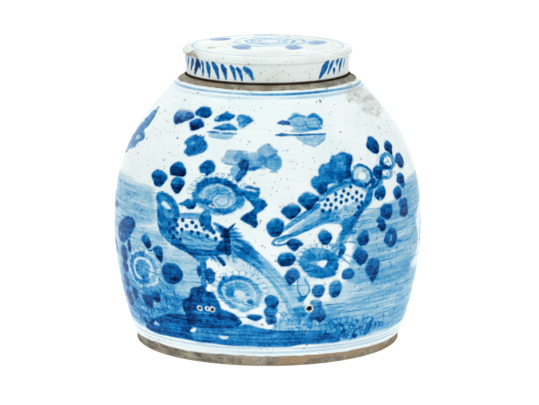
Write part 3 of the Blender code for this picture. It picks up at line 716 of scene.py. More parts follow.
def paint_bird_two(c):
    """The perched bird on the right: ringed head, spotted back and a forked tail down to the left."""
    c.clear([(18.5, 131), (22, 138), (27, 143), (33, 146), (38, 142), (40, 134), (35, 128), (26, 122),
             (20, 123)], 0.04, 1.0)
    c.wash([(19, 133.6), (23, 139.8), (28, 145), (34, 147.8), (35.4, 144.6), (30, 142.4), (25, 139),
            (21, 134)], 0.44, 0.3, 0.6, 0.0, 71)
    c.wash([(20, 126.4), (26, 125.8), (33, 130), (38.4, 130), (42.4, 130), (40, 125), (36, 121), (34, 115),
            (31, 109.4), (28.6, 110), (27, 114), (22.6, 116.4), (19, 118)], 0.2, 0.45, 0.7, 0.0, 72)
    c.wash([(18, 131), (20.6, 128), (24, 124.4), (26.6, 121), (26, 116.4), (22, 116.6), (18, 115),
            (14, 111.4), (10, 108.2), (6, 104.6), (3.6, 103.6), (5, 107), (9, 112), (12.6, 118), (15, 125)],
           0.22, 0.3, 0.6, 0.0, 69)
    c.stroke([(17.4, 133), (21, 138.6), (26, 143.4), (31, 146.6)], 4.0, 0.36, (0.6, 0.7))
    c.stroke([(19, 130.6), (14.6, 125), (10, 118.6), (5.6, 112)], 4.2, 0.44, (0.8, 0.5))
    c.stroke([(18.6, 131.6), (13.4, 125.6), (8.6, 119), (5, 113)], 1.5, 0.3, (0.8, 0.5))
    c.stroke([(23, 121.4), (18.4, 117.6), (13, 112.2), (8, 107.6), (4, 103.4)], 4.4, 0.3, (0.6, 0.4))
    c.stroke([(26, 118.4), (20, 116.2), (14, 111.6), (9, 107.4)], 2.4, 0.3, (0.5, 0.3))
    c.stroke([(15.6, 121), (11, 116), (7.4, 110.6)], 1.6, 0.16, (0.6, 0.4), wipe=True)
    c.stroke([(19, 122), (15, 118.4), (11, 113.6)], 1.3, 0.3, (0.6, 0.4), wipe=True)
    c.stroke([(8.6, 108.6), (5, 106.8), (2.4, 104.2), (2.1, 101.6), (4.8, 100.8), (8.4, 103.6)], 2.0, 0.5,
             (0.7, 0.7))
    c.dots(BIRD_TWO_DOTS, 1.45, 1.05)
    c.flower((39.4, 149.2), (5.3, 8.6), ((0.8, 1.03, 0.6, 38), (0.36, 0.84, 0.16, 34)), 0.9, 0, 0, 75)
    c.stroke([(36, 156.4), (39.6, 157.8), (43, 154), (44.8, 147.6), (45, 141)], 1.6, 0.4, (0.5, 0.7))
    c.dab([(44.9, 149), (45.2, 143), (43.4, 135), (42.2, 130.4), (38.4, 124), (35.4, 119), (32.8, 119.4),
           (35.4, 124.4), (38, 129.4), (39.4, 134), (41, 138), (42.6, 141.4)], 0.58, 0.05)
    c.stroke([(35.4, 146.6), (38, 143.4), (40.4, 139)], 1.8, 0.42)
    c.stroke([(34, 147.6), (37.4, 146), (41, 142.4)], 1.3, 0.38)
    c.wash([(35.4, 145.6), (41, 142), (43, 138), (40.4, 136), (38.4, 139.4), (35, 142.6)], 0.32, 0.3, 0.5,
           0.0, 76)
    c.wash([(42.6, 143.4), (45.4, 145.6), (50, 144.6), (49, 141), (44, 138.4)], 0.42, 0.3, 0.6, 0.0, 77)
    c.curls((27, 37, 110, 127), 30, 2.6, 0.18, 78, 0.8)
    c.curls((21, 30, 118, 127), 20, 2.2, 0.3, 79, 0.8)
    c.wash([(36.4, 122), (33.4, 112), (30.4, 104), (28, 98.6), (25, 98.6), (26.4, 105), (27.6, 111),
            (29, 118)], 0.3, 0.4, 0.6, 0.0, 70)
    c.feathers([(35.4, 121), (32.6, 112), (29.8, 105), (27.6, 99)],
               [(29.6, 117), (28, 110), (27, 105), (25.4, 98.6)], 8, 1.5, 0.3, 80)
    c.curls((27, 34, 104, 118), 18, 2.0, 0.3, 82, 0.9)
    c.dab([(26.4, 99.4), (28.2, 98.6), (29.3, 94.4), (28, 89.6), (26.4, 88.6), (26.6, 93)], 0.66, 0.2)
    c.stroke([(26, 89.4), (28.6, 86.4), (31.4, 81.4)], 1.3, 0.45)
    c.stroke([(27, 91.6), (29.4, 90), (33.4, 86)], 0.8, 0.3)
    c.stroke([(27.6, 99.4), (31.6, 99.6), (36, 96.4)], 0.9, 0.42)
    c.wash([(22.6, 99.6), (25.6, 99.4), (26.4, 94), (24.4, 93)], 0.26, 0.3, 0.8, 0.0, 81)


def paint_leaves(c):
    """The leaf marks, in their clusters round the birds and flowers."""
    for outline, tone, pool, grey in LEAVES_LEFT + LEAVES_RIGHT:
        c.dab(outline, tone, pool, (0.15, -1.0), grey)
    for i, (across, up, wide, tall, tone, pool, grey) in enumerate(ROUND_LEAVES):
        c.dab(oval(across, up, wide, tall, 0.0, 90 + i), tone, pool, (0.1, -1.0), grey)


def paint_details(c):
    """Small marks on and between the leaves: stems, buds, highlights and thin lines."""
    c.stroke([(-28.5, 183.4), (-25, 183.7), (-22.5, 183.4)], 1.5, 0.66, (0.3, 0.4), 0.3)
    c.stroke([(-21, 183.3), (-17, 183.5), (-14, 183.3)], 1.3, 0.62, (0.4, 0.4), 0.3)
    c.wash([(-27, 182.6), (-25.6, 179.8), (-22, 178.8), (-18, 179.2), (-15.4, 181.6), (-16, 183),
            (-24, 183.2)], 0.24, 0.4, 0.5, 0.05, 91)
    c.stroke([(-14.8, 196.2), (-12.4, 196.4), (-9.8, 195.8)], 1.0, 0.5, (0.4, 0.4), 0.3)
    c.dab([(-45.4, 195.4), (-41.6, 195.2), (-39, 192.6), (-41.6, 190), (-44, 191.6)], 0.5, 0.0, (0.6, 0.0),
          0.4)
    c.dab([(-10.6, 194), (-9, 194.8), (-7.2, 192.9), (-9, 191.2), (-10.6, 191.8)], 0.44, 0.0)
    for middle in ((-25.6, 193.4), (-13, 192.6)):
        c.clear(oval(*middle, 1.0, 1.0, 0, 2), 0.24, 0.7)
    c.clear([(-35.6, 173.6), (-34.4, 175.2), (-32.4, 174.4), (-34, 173)], 0.36, 0.9)
    c.stroke([(-48.9, 88), (-47.6, 88), (-45.6, 89.8)], 1.4, 0.8, (0.6, 0.4))
    c.stroke([(-60, 73.4), (-52, 71.4), (-42, 69), (-32, 67.6), (-24, 68.2), (-14, 67)], 0.8, 0.5,
             (0.6, 0.4), 0.2)
    c.stroke([(-63, 41), (-50, 37), (-36, 33)], 0.7, 0.36, (0.6, 0.4), 0.2)
    c.stroke([(55.2, 93.6), (57.4, 92.8), (59, 92.4)], 3.0, 0.36)
    c.clear(oval(51.4, 97, 0.7, 2.6, 0.4, 3), 0.32, 0.8)
    c.clear(oval(43.8, 110.6, 0.5, 1.0, 0, 3), 0.1, 0.4)
    c.clear(oval(46.7, 129.9, 0.8, 0.8, 0, 3), 0.2, 0.4)
    c.dab([(10.6, 57.6), (12.4, 58.8), (14.6, 59.8), (13.6, 55.8), (12.4, 54.6)], 0.6, 0.1)
    c.wash([(10.6, 73), (11, 64), (12.8, 57.6), (15, 60), (15.8, 66), (13.8, 74)], 0.14, 0.4, 0.7, 0.0, 94)
    c.stroke([(11, 72), (11.2, 64), (13, 58.4), (14.8, 60), (15.4, 66), (13.4, 73)], 1.3, 0.36, (0.8, 0.8))
    c.wash([(10.4, 50.6), (15.4, 51), (15.6, 44), (12, 41), (10, 44)], 0.34, 0.4, 0.8, 0.0, 92)
    c.wash([(15, 40), (18, 38), (17.4, 31), (15.6, 31)], 0.3, 0.5, 0.9, 0.0, 93)


def paint_scribbles(c):
    """Fine marks over the washes: level scratches, and rows of waves along the water's edge."""
    for box, count, tone, seed in (((-80, -46, 106, 134), 34, 0.24, 201), ((-78, -28, 22, 60), 60, 0.34, 202),
                                   ((-62, -26, 60, 106), 26, 0.2, 203), ((34, 80, 24, 120), 110, 0.26, 204),
                                   ((2, 34, 20, 66), 44, 0.26, 205), ((-20, 10, 120, 180), 14, 0.08, 206)):
        c.hairlines(box, count, tone, seed)
    for line, count, reach, tone, seed in (
            ([(-72, 40), (-64, 33), (-58, 27)], 14, 6.0, 0.5, 211),
            ([(-56, 60), (-50, 55), (-44, 56)], 12, 5.0, 0.4, 212),
            ([(-64, 30), (-58, 26), (-52, 31)], 12, 4.6, 0.44, 213),
            ([(24, 36), (34, 37), (46, 34)], 16, 6.0, 0.34, 214),
            ([(26, 30), (36, 30), (50, 28)], 16, 5.4, 0.36, 215),
            ([(52, 34), (58, 35), (64, 33)], 8, 5.0, 0.3, 216),
            ([(27, 33), (33, 34), (40, 33)], 7, 8.0, 0.6, 223),
            ([(36, 29), (44, 30), (52, 29)], 7, 6.5, 0.5, 224),
            ([(4, 46), (8, 45), (13, 44)], 8, 5.0, 0.3, 217),
            ([(40, 78), (46, 77), (52, 77)], 7, 3.4, 0.34, 218),
            ([(44, 90), (50, 89), (56, 89)], 5, 3.0, 0.34, 219)):
        c.combs(line, count, reach, tone, seed)


def paint_level_lines(c):
    """Thin level lines that cross the lower half."""
    for left, right, up, tone in ((22, 32, 50, 0.3), (34, 66, 50.4, 0.2), (24, 48, 42, 0.28),
                                  (38, 62, 46.6, 0.24), (0, 22, 67.4, 0.22), (36, 58, 107.4, 0.2),
                                  (45, 66, 101, 0.2), (38, 60, 80, 0.22), (-24, 6, 41.4, 0.16),
                                  (40, 70, 35, 0.22), (46, 78, 56, 0.18), (34, 47, 122.6, 0.3)):
        c.stroke([(left, up), ((left + right) / 2, up + 0.5), (right, up - 0.2)], 0.8, 1.4 * tone,
                 (0.4, 0.3), 0.2)


def paint_front(c):
    """The whole painted front."""
    paint_lake(c)
    paint_ground(c)
    paint_flowers(c)
    paint_clouds(c)
    paint_bird_one(c)
    paint_bird_two(c)
    paint_leaves(c)
    paint_details(c)
    paint_scribbles(c)
    paint_level_lines(c)


def paint_back(c):
    """The side away from the front: the same lake, bank, flowers and leaf sprays in another arrangement."""
    c.wash([(100, 19), (118, 27), (140, 33), (158, 36), (182, 31), (212, 28), (238, 22), (244, 18),
            (170, 17.8)], 0.62, 0.4, 0.8, 0.1, 112)
    c.dab([(146, 34), (147, 46), (152, 56), (158, 62), (165, 58), (170, 48), (176, 40), (174, 32), (160, 30)],
          0.82, 0.1, (-0.5, -0.6), 0.05, 0.14)
    c.stroke([(160, 60), (164, 84), (173, 108), (188, 128), (206, 142)], 4.2, 0.5, (1.0, 0.3))
    c.stroke([(166, 90), (156, 108), (142, 120), (128, 126)], 3.0, 0.48, (0.9, 0.3))
    for middle, half, seed in (((190, 96), (9.4, 13.4), 121), ((214, 140), (8.6, 11.6), 122),
                               ((134, 98), (8.8, 12.6), 123), ((120, 152), (7.6, 9.4), 124),
                               ((228, 72), (8.4, 13.0), 125)):
        c.flower(middle, half, ((0.74, 1.0, 0.58, 42), (0.04, 0.58, 0.32, 32)), 1.2, 6, 8, seed)
        c.clear(oval(*middle, half[0] * 0.18, half[1] * 0.18, 0, seed), 0.05, 0.8)
    for line, count, size, seed in (([(168, 76), (178, 116), (196, 138), (212, 162)], 15, 6.4, 131),
                                    ([(160, 92), (148, 118), (130, 136), (112, 138)], 12, 6.0, 132),
                                    ([(112, 70), (122, 84), (134, 76), (148, 82)], 8, 5.8, 133),
                                    ([(204, 64), (216, 56), (232, 52), (248, 58)], 8, 5.6, 134),
                                    ([(236, 112), (246, 118), (254, 108)], 6, 5.6, 135),
                                    ([(96, 112), (104, 118), (112, 108)], 5, 5.6, 136),
                                    ([(150, 164), (158, 174), (170, 180), (182, 176)], 8, 5.2, 137)):
        c.spray(line, count, size, 0.84, seed)
    for across, up, seed in ((100, 182, 141), (226, 184, 142), (252, 172, 143), (140, 188, 144)):
        c.wash(oval(across, up, 8, 5.5, 0, seed), 0.34, 0.4, 0.6, 0.15, seed)
        c.wash(oval(across + 6, up - 4, 5, 6, 0, seed + 5), 0.44, 0.3, 0.6, 0.1, seed + 20)
        c.stroke([(across - 9, up - 6), (across, up - 6.4), (across + 11, up - 6)], 1.0, 0.6, (0.3, 0.2), 0.2)
    for box, count, seed in (((104, 118, 22, 36), 30, 151), ((176, 200, 24, 42), 44, 152),
                             ((236, 252, 20, 36), 34, 153), ((128, 146, 30, 48), 34, 154)):
        c.curls(box, count, 3.4, 0.44, seed)


def paint_rings(c):
    """Turned blue lines under the neck and above the foot, drawn unevenly."""
    every = np.arange(len(c.up))
    for height, half, tone, patch, seed in ((211.0, 0.6, 0.36, 0.8, 161), (208.4, 0.9, 0.09, 0.8, 162),
                                            (14.8, 0.9, 0.11, 0.7, 163), (12.0, 0.8, 0.07, 0.8, 164)):
        drift = height + 0.35 * c.noise(every, 70.0, ROUND_TALL, seed)
        load = 1 + patch * c.noise(every, 60.0, ROUND_TALL, seed + 10)
        load *= 0.5 + 0.5 * smooth(np.abs(wrapped(c.across + 60)), 20, 60)
        c.add(every, smooth(np.abs(c.up - drift), half + 0.5, half - 0.45), tone * load, 0.1)
    front = smooth(np.abs(wrapped(c.across - 12)), 34, 8)
    c.add(every, smooth(np.abs(c.up - 210.8), 1.3, 0.3) * front, 0.32)


# Faults of the firing on the jar: (degrees, mm, radius in mm). The craters are holes through the glaze.
CRATERS = ((-26.4, 46.8, 1.5), (-23.2, 47.0, 1.2), (-21.2, 46.8, 1.6), (15.8, 48.4, 2.5))
SPECKS = (
    (30.8, 204.9, 1.3), (28.2, 204.4, 0.6), (-43.2, 176.6, 0.8), (-46, 159.5, 0.8), (61.2, 180, 0.8),
    (58.8, 146.6, 0.9), (41, 161.6, 0.7), (35, 117.8, 1.3), (-20.4, 130.6, 1.3), (-19.3, 77, 1.1),
    (-5, 148.3, 0.9), (-2.4, 119.6, 0.9), (-2.8, 117.6, 0.6), (4.6, 130.6, 0.6), (-1.8, 100.4, 0.7),
    (-0.8, 98.8, 0.5), (34, 63.2, 0.8), (-14, 51.9, 0.7), (-0.4, 46, 1.0), (15, 29.4, 1.2),
    (-62.6, 192.8, 0.8), (60, 205.8, 0.8), (50.6, 202.2, 0.8), (69.8, 121.6, 1.0), (-45.6, 209, 0.8),
    (-8, 178.2, 0.6), (0.6, 176.4, 0.8), (23, 50.2, 0.8), (-2, 36, 1.0), (43.4, 98.4, 0.6), (43.4, 94, 0.6),
    (43.6, 129.8, 0.6), (32.4, 123.2, 0.8), (-34.2, 121.2, 0.7), (-54, 100.2, 0.6), (16, 17.6, 0.9),
    (15, 14.4, 0.7), (-66, 159.2, 0.8), (-52, 202.6, 0.8), (-64, 171.2, 0.9), (132, 170, 0.9),
    (176, 150, 0.8), (205, 110, 0.9), (240, 160, 0.8), (150, 200, 0.8), (260, 60, 0.9),
)


def paint_faults(c):
    """Iron specks, crater rims, the rubbed patch on the right shoulder, the clay at the edges, and painted
    shade on the foot's lowest edge and right side.
    """
    for across, up, radius in SPECKS:
        at, around, _ = c.local([(across, up)], radius + 1.0)
        c.mark("dirt_and_shade", at, 0.85 * smooth(np.hypot(*around.T), radius + 0.3, radius * 0.35))
    for across, up, radius in CRATERS:
        at, around, _ = c.local([(across, up)], radius + 2.4)
        gap = np.hypot(around[:, 0], around[:, 1]) + 0.3 * c.noise(at, 1.5, 1.5, 7)
        c.reserve(at, smooth(gap, radius + 1.5, radius + 0.5), 0.0)
        c.mark("dirt_and_shade", at, 1.2 * smooth(gap, radius + 0.25, radius - 0.6))
    at, places, line = c.local([(50, 206), (56, 211), (68, 212.4), (80, 207), (84, 195), (76, 187), (60, 189),
                                (54, 196)], 6.0)
    depth = depth_inside(places, rounded(line, True)) + 2.5 * c.noise(at, 16.0, 2.4, 171)
    rubbed = smooth(depth, -1.0, 4.0) * (0.55 + 0.45 * c.noise(at, 9.0, 1.6, 172))
    c.mark("tan", at, 0.9 * np.clip(rubbed, 0, 1))
    c.mark("dirt_and_shade", at, 0.5 * rubbed * smooth(c.noise(at, 2.2, 1.4, 185), 0.55, 0.85))
    every = np.arange(len(c.up))
    top_edge = GLAZE_TOP + 0.5 * c.noise(every, 24.0, ROUND_TALL, 173)
    top_edge += 0.2 * c.noise(every, 5.0, ROUND_TALL, 174)
    foot_edge = GLAZE_FOOT + 0.7 * c.noise(every, 40.0, ROUND_TALL, 175)
    foot_edge += 0.25 * c.noise(every, 6.0, ROUND_TALL, 176)
    c.mark("clay", every, smooth(c.up, top_edge - 0.3, top_edge + 0.3))
    c.mark("clay", every, smooth(c.up, foot_edge + 0.35, foot_edge - 0.35))
    c.mark("dirt_and_shade", every, 0.35 * smooth(np.abs(c.up - foot_edge), 0.9, 0.1))
    warm = smooth(np.abs(wrapped(c.across - 40)), 62, 28) * smooth(c.up, foot_edge + 0.6, foot_edge)
    patches = c.noise(every, 22.0, 3.0, 177) + 0.3 * c.noise(every, 4.0, 2.0, 178)
    c.mark("tan", every, warm * smooth(patches, -0.7, 0.1))
    pale = smooth(np.abs(c.across + 34), 46, 16) * smooth(c.up, top_edge, top_edge + 0.8)
    c.mark("tan", every, 0.6 * pale * smooth(c.noise(every, 14.0, 3.0, 186), -0.6, 0.5))
    grime = smooth(c.noise(every, 11.0, 1.6, 179) + 0.4 * c.noise(every, 2.5, 1.6, 180), 0.1, 0.9)
    grime = grime * (1 - 0.7 * warm)
    c.mark("dirt_and_shade", every, (0.5 * grime + 0.1) * smooth(c.up, foot_edge, foot_edge - 0.8))
    # Darker in level streaks towards the foot's bottom edge: dirt, with painted shade where the foot meets
    # the floor.
    c.mark("dirt_and_shade", every, 0.4 * smooth(c.noise(every, 9.0, 1.2, 187), -0.2, 0.6) * smooth(c.up, 4.6, 2.0))
    # Painted shade: the bare foot darker round its right side, away from the light.
    right = smooth(c.across, 22, 60) * smooth(c.across, 120, 90)
    c.mark("dirt_and_shade", every, 0.22 * right * smooth(c.up, foot_edge, 4.0))


# ---------------------------------------------------------------- what is painted on the lid

# Brush marks round the skirt, each from its top to its tip: (degrees and mm at both ends, width in mm, tone).
SKIRT_MARKS = (
    (-78.5, 232, -84, 224, 3.2, 0.5), (-71, 231.6, -75, 223.6, 3.4, 0.66),
    (-62.6, 232, -67.4, 223, 3.6, 0.86), (-56, 232, -61, 220.8, 4.2, 1.1),
    (-55.4, 230.6, -53.8, 225.6, 2.6, 0.8), (-51.2, 231.6, -50.2, 226.2, 2.2, 0.8),
    (-50.4, 225.4, -50.8, 221, 2.6, 0.7), (-45.6, 230.8, -44.2, 220.6, 3.6, 0.76),
    (-40, 231.4, -36, 220.2, 3.6, 0.74), (-32.4, 230.4, -29.6, 220.4, 3.4, 0.76),
    (-25.6, 230.6, -22.6, 220.2, 2.6, 0.74), (-21, 229.4, -17.6, 219.8, 2.4, 0.74),
    (-15.6, 229.6, -10, 221, 3.4, 0.68), (45, 231.4, 38.8, 220.4, 4.6, 0.68),
    (51, 231.6, 46.4, 222.6, 2.8, 0.7), (56.2, 232.2, 56.4, 228.8, 3.4, 0.6),
    (53, 225.8, 53.2, 222.2, 2.4, 0.92), (62, 232, 59.6, 222.4, 3.2, 0.7),
    (67.6, 231.4, 66.4, 225, 2.2, 0.4),
)
# Iron specks on the skirt: (degrees, mm, radius in mm).
SKIRT_SPECKS = ((-4.6, 226, 0.6), (10.6, 227, 0.6), (27, 225.6, 0.6), (0.2, 220.6, 0.5), (-12.6, 233, 1.0),
                (-28.6, 227.8, 0.6), (-15, 225, 0.5), (30, 223.6, 0.5))
# Petals on the lid's top: (mm right, mm behind, half width, half depth, tone).
TOP_MARKS = ((-20.5, -12, 8.0, 13.0, 0.4), (20.5, -15, 6.6, 12.4, 0.44), (40, 14, 7.2, 12.0, 0.36),
             (-38.5, 35, 8.4, 9.6, 0.34), (0, 62, 10.0, 6.0, 0.3))


# Brown stains on the lid's top: (mm right, mm behind, radius), and the middle of its ring flower.
TOP_STAINS = ((-46, -16, 3.4), (-43.4, -15, 2.6), (16, 52, 2.8), (24, -44, 1.0))
TOP_FLOWER = (2, 20)


def paint_skirt(c):
    """Slanting leaf strokes in groups, the plain stretch between them, the worn edges and painted shade under
    the rim bead.
    """
    for start, top, end, low, width, tone in SKIRT_MARKS:
        bend = (start + end) / 2 + 0.12 * abs(end - start)
        line = [(start, top), (bend, (top + low) / 2 + 1.2), (end, low)]
        c.stroke(line, 1.4 * width, 1.05 * tone, (0.7, 0.35), 0.2, peak=0.3)
    rng = np.random.default_rng(181)
    for start in np.arange(84, 264, 6.4):
        if not 150 < start < 178:
            lean = rng.uniform(2, 5)
            top = (start, rng.uniform(230, 231.6))
            line = [top, (start + lean * 0.7, 226), (start + lean, rng.uniform(220, 222))]
            c.stroke(line, rng.uniform(2.4, 3.8), rng.uniform(0.6, 0.9), (0.5, 0.25), 0.1)
    for across, up, radius in SKIRT_SPECKS:
        at, around, _ = c.local([(across, up)], radius + 1.0)
        c.mark("dirt_and_shade", at, 0.7 * smooth(np.hypot(*around.T), radius + 0.3, radius * 0.3))
    at, places, line = c.local([(-73, 233.2), (-71, 235.6), (-66, 238), (-61, 239.2), (-56, 237.6),
                                (-52.6, 234.8), (-57, 233.4), (-65, 234)], 3.0)
    depth = depth_inside(places, rounded(line, True)) + 1.3 * c.noise(at, 3.0, 1.8, 182)
    chip = smooth(depth, -0.4, 0.8)
    c.mark("tan", at, 0.3 * chip)
    c.mark("clay", at, 0.8 * chip)
    every = np.arange(len(c.up))
    low_edge = 218.5 + 0.35 * c.noise(every, 20.0, ROUND_TALL, 183)
    c.mark("clay", every, smooth(c.up, low_edge + 0.3, low_edge - 0.3))
    # Painted shade: a thin dark band just under the rim bead, where it overhangs the skirt, with some grime.
    c.mark("dirt_and_shade", every, 0.2 * smooth(np.abs(c.up - 232.6), 0.9, 0.2))


def paint_top(c):
    """A thin ring near the rim, a faint ring flower in the middle and soft grey-blue petals round it."""
    every = np.arange(len(c.up))
    radius = np.hypot(c.across, c.up)
    turn = np.degrees(np.arctan2(c.across, -c.up))
    load = 0.8 + 0.5 * grain(turn, radius * 0, (30, 10), 191, period=360)
    c.add(every, smooth(np.abs(radius - 60.4 - 0.4 * np.sin(np.radians(turn * 2))), 1.1, 0.2), 0.34 * load,
          0.5)
    right, behind = TOP_FLOWER
    middle = np.hypot(c.across - right, c.up - behind)
    angle = np.arctan2(c.up - behind, c.across - right)
    for ring, half, tone in ((8.0, 0.9, 0.2), (14.0, 1.0, 0.2), (19.0, 1.2, 0.26), (28.0, 1.5, 0.18)):
        ragged = ring + 0.9 * np.sin(angle * 7 + ring) + 1.6 * c.noise(every, 7.0, 7.0, 192 + int(ring))
        faded = tone * (1 + 0.8 * c.noise(every, 12.0, 12.0, 193))
        c.add(every, smooth(np.abs(middle - ragged), half + 0.9, half - 0.7), faded, 0.45)
    c.add(every, smooth(middle, 30, 12) * (0.7 + 0.5 * np.sin(angle * 18)), 0.05, 0.2)
    for half, bumps in ((11, 8), (16.5, 11), (24, 15)):
        c.scallops(TOP_FLOWER, (half, half), bumps, 1.0, 0.22)
    for i, (across, up, wide, tall, tone) in enumerate(TOP_MARKS):
        c.dab(oval(across, up, wide, tall, 0.0, 195 + i), tone, 0.2, (0.3, -1.0), 0.55)
    for across, up, size in TOP_STAINS:
        at, around, _ = c.local([(across, up)], size + 2.0)
        c.mark("dirt_and_shade", at, 0.6 * smooth(np.hypot(*around.T), size + 0.6, size * 0.5))


# ---------------------------------------------------------------- turned surfaces


def meridian(node):
    """The CAD node's section in mm, from the upper of its two places on the axis round to the lower."""
    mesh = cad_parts[node].data
    place = {}
    for vertex in mesh.vertices:
        if abs(vertex.co.y) < 1e-5 and vertex.co.x > 0:
            place[vertex.index] = (round(vertex.co.x / MM, 2), round(vertex.co.z / MM, 2))
    links = {}
    for edge in mesh.edges:
        a, b = (place.get(i) for i in edge.vertices)
        if a and b and a != b:
            links.setdefault(a, set()).add(b)
            links.setdefault(b, set()).add(a)
    line = [max((p for p in links if len(links[p]) == 1), key=lambda p: p[1])]
    while following := links[line[-1]] - set(line):
        line.append(min(following))
    return np.array([(0.0, line[0][1]), *line, (0.0, line[-1][1])])


def between(first, second, start, end, t):
    """The point that a move from first at start to second at end has reached at t."""
    return ((end - t) * first + (t - start) * second) / (end - start)


def resampled(section, row_mm):
    """The section with its curves rounded and its corners kept, and points row_mm(radius, height) apart."""
    step = np.diff(section, axis=0)
    turn = np.degrees(np.abs(np.diff(np.unwrap(np.arctan2(step[:, 1], step[:, 0])))))
    sharp = {0, len(section) - 1, *(np.flatnonzero(turn > CORNER_DEGREES) + 1)}
    line = []
    for i in range(len(section) - 1):
        b, c = section[i], section[i + 1]
        a = 2 * b - c if i in sharp else section[i - 1]
        d = 2 * c - b if i + 1 in sharp else section[i + 2]
        gaps = [max(np.linalg.norm(q - p), 1e-6) ** 0.5 for p, q in ((a, b), (b, c), (c, d))]
        k0, k1, k2, k3 = np.cumsum([0, *gaps])
        count = max(1, math.ceil(np.linalg.norm(c - b) / row_mm(*(b + c) / 2)))
        for t in k1 + (k2 - k1) * np.arange(count) / count:
            ab, bc, cd = between(a, b, k0, k1, t), between(b, c, k1, k2, t), between(c, d, k2, k3, t)
            line.append(between(between(ab, bc, k0, k2, t), between(bc, cd, k1, k3, t), k1, k2, t))
    return np.clip([*line, section[-1]], section.min(0), section.max(0))


class Turned:
    """A surface of revolution as rows of vertices, for layers and dents, before it becomes a mesh."""

    def __init__(self, section, angles):
        rows = section[1:-1]
        self.lowest, self.highest, self.widest = rows[:, 1].min(), rows[:, 1].max(), rows[:, 0].max()
        self.shape = (len(rows), len(angles))
        self.turn = np.tile(angles, len(rows))
        self.radius = np.repeat(rows[:, 0], len(angles))
        self.height = np.repeat(rows[:, 1], len(angles))
        run = np.gradient(rows, axis=0)
        run /= np.linalg.norm(run, axis=1)[:, None]
        self.out = np.repeat(np.stack([-run[:, 1], run[:, 0]], 1), len(angles), 0)
        self.layers = {name: np.zeros(len(self.turn)) for name in LAYERS}

    def raised(self, amount):
        """Moves every vertex this many mm outwards, inwards where negative."""
        self.radius = self.radius + self.out[:, 0] * amount
        self.height = self.height + self.out[:, 1] * amount

    def painted(self, where, canvas):
        """Takes over what a canvas holds, on the vertices where it lies."""
        for name in LAYERS:
            self.layers[name][where] = canvas.layers[name]

    def faces(self, points):
        """Corners and corner counts of the quads between the rows and the fans that close both ends."""
        rows, columns = self.shape
        index = np.arange(rows * columns).reshape(rows, columns)
        after = np.roll(index, -1, 1)
        start, end = rows * columns, rows * columns + 1
        quads = np.stack([index[:-1], after[:-1], after[1:], index[1:]], 2).reshape(-1, 4)
        first = np.stack([np.full(columns, start), after[0], index[0]], 1)
        last = np.stack([np.full(columns, end), index[-1], after[-1]], 1)
        corners = points[quads]
        volume = np.einsum("ij,ij->i", corners[:, 0], np.cross(corners[:, 1], corners[:, 2])).sum()
        if volume < 0:
            quads, first, last = quads[:, ::-1], first[:, ::-1], last[:, ::-1]
        loops = np.concatenate([quads.ravel(), first.ravel(), last.ravel()])
        return loops, np.concatenate([np.full(len(quads), 4), np.full(2 * columns, 3)])

    def mesh(self, name, material):
        """The finished object, with each layer as an attribute of its vertices."""
        columns = self.shape[1]
        radians = np.radians(self.turn)
        self.height = np.clip(self.height, self.lowest, self.highest)
        self.radius = np.clip(self.radius, 0.5, self.widest)
        ring = np.stack([self.radius * np.sin(radians), -self.radius * np.cos(radians), self.height], 1)
        ends = [[0, 0, self.height[:columns].mean()], [0, 0, self.height[-columns:].mean()]]
        points = np.vstack([ring, ends]) * MM
        loops, counts = self.faces(points)
        mesh = bpy.data.meshes.new(name)
        mesh.vertices.add(len(points))
        mesh.vertices.foreach_set("co", points.astype(np.float32).ravel())
        mesh.loops.add(len(loops))
        mesh.loops.foreach_set("vertex_index", loops.astype(np.int32))
        mesh.polygons.add(len(counts))
        mesh.polygons.foreach_set("loop_start", (np.cumsum(counts) - counts).astype(np.int32))
        mesh.update(calc_edges=True)
        mesh.shade_smooth()
        for layer, values in self.layers.items():
            ends = [values[:columns].mean(), values[-columns:].mean()]
            attribute = mesh.attributes.new(layer, "FLOAT", "POINT")
            attribute.data.foreach_set("value", np.append(values, ends).astype(np.float32))
        mesh.materials.append(material)
        obj = bpy.data.objects.new(name, mesh)
        bpy.context.scene.collection.objects.link(obj)
        return obj


def turn_noise(turned, wide, tall, seed):
    """Random values from -1 to 1 over a turned surface, in patches this many degrees wide and mm tall."""
    return grain(turned.turn, turned.height, (wide, tall), seed, period=360)


# ---------------------------------------------------------------- materials


def srgb(red, green, blue):
    """A linear colour from screen values of 0 to 255."""
    screen = (red / 255, green / 255, blue / 255)
    linear = [v / 12.92 if v <= 0.04045 else ((v + 0.055) / 1.055) ** 2.4 for v in screen]
    return (*linear, 1.0)


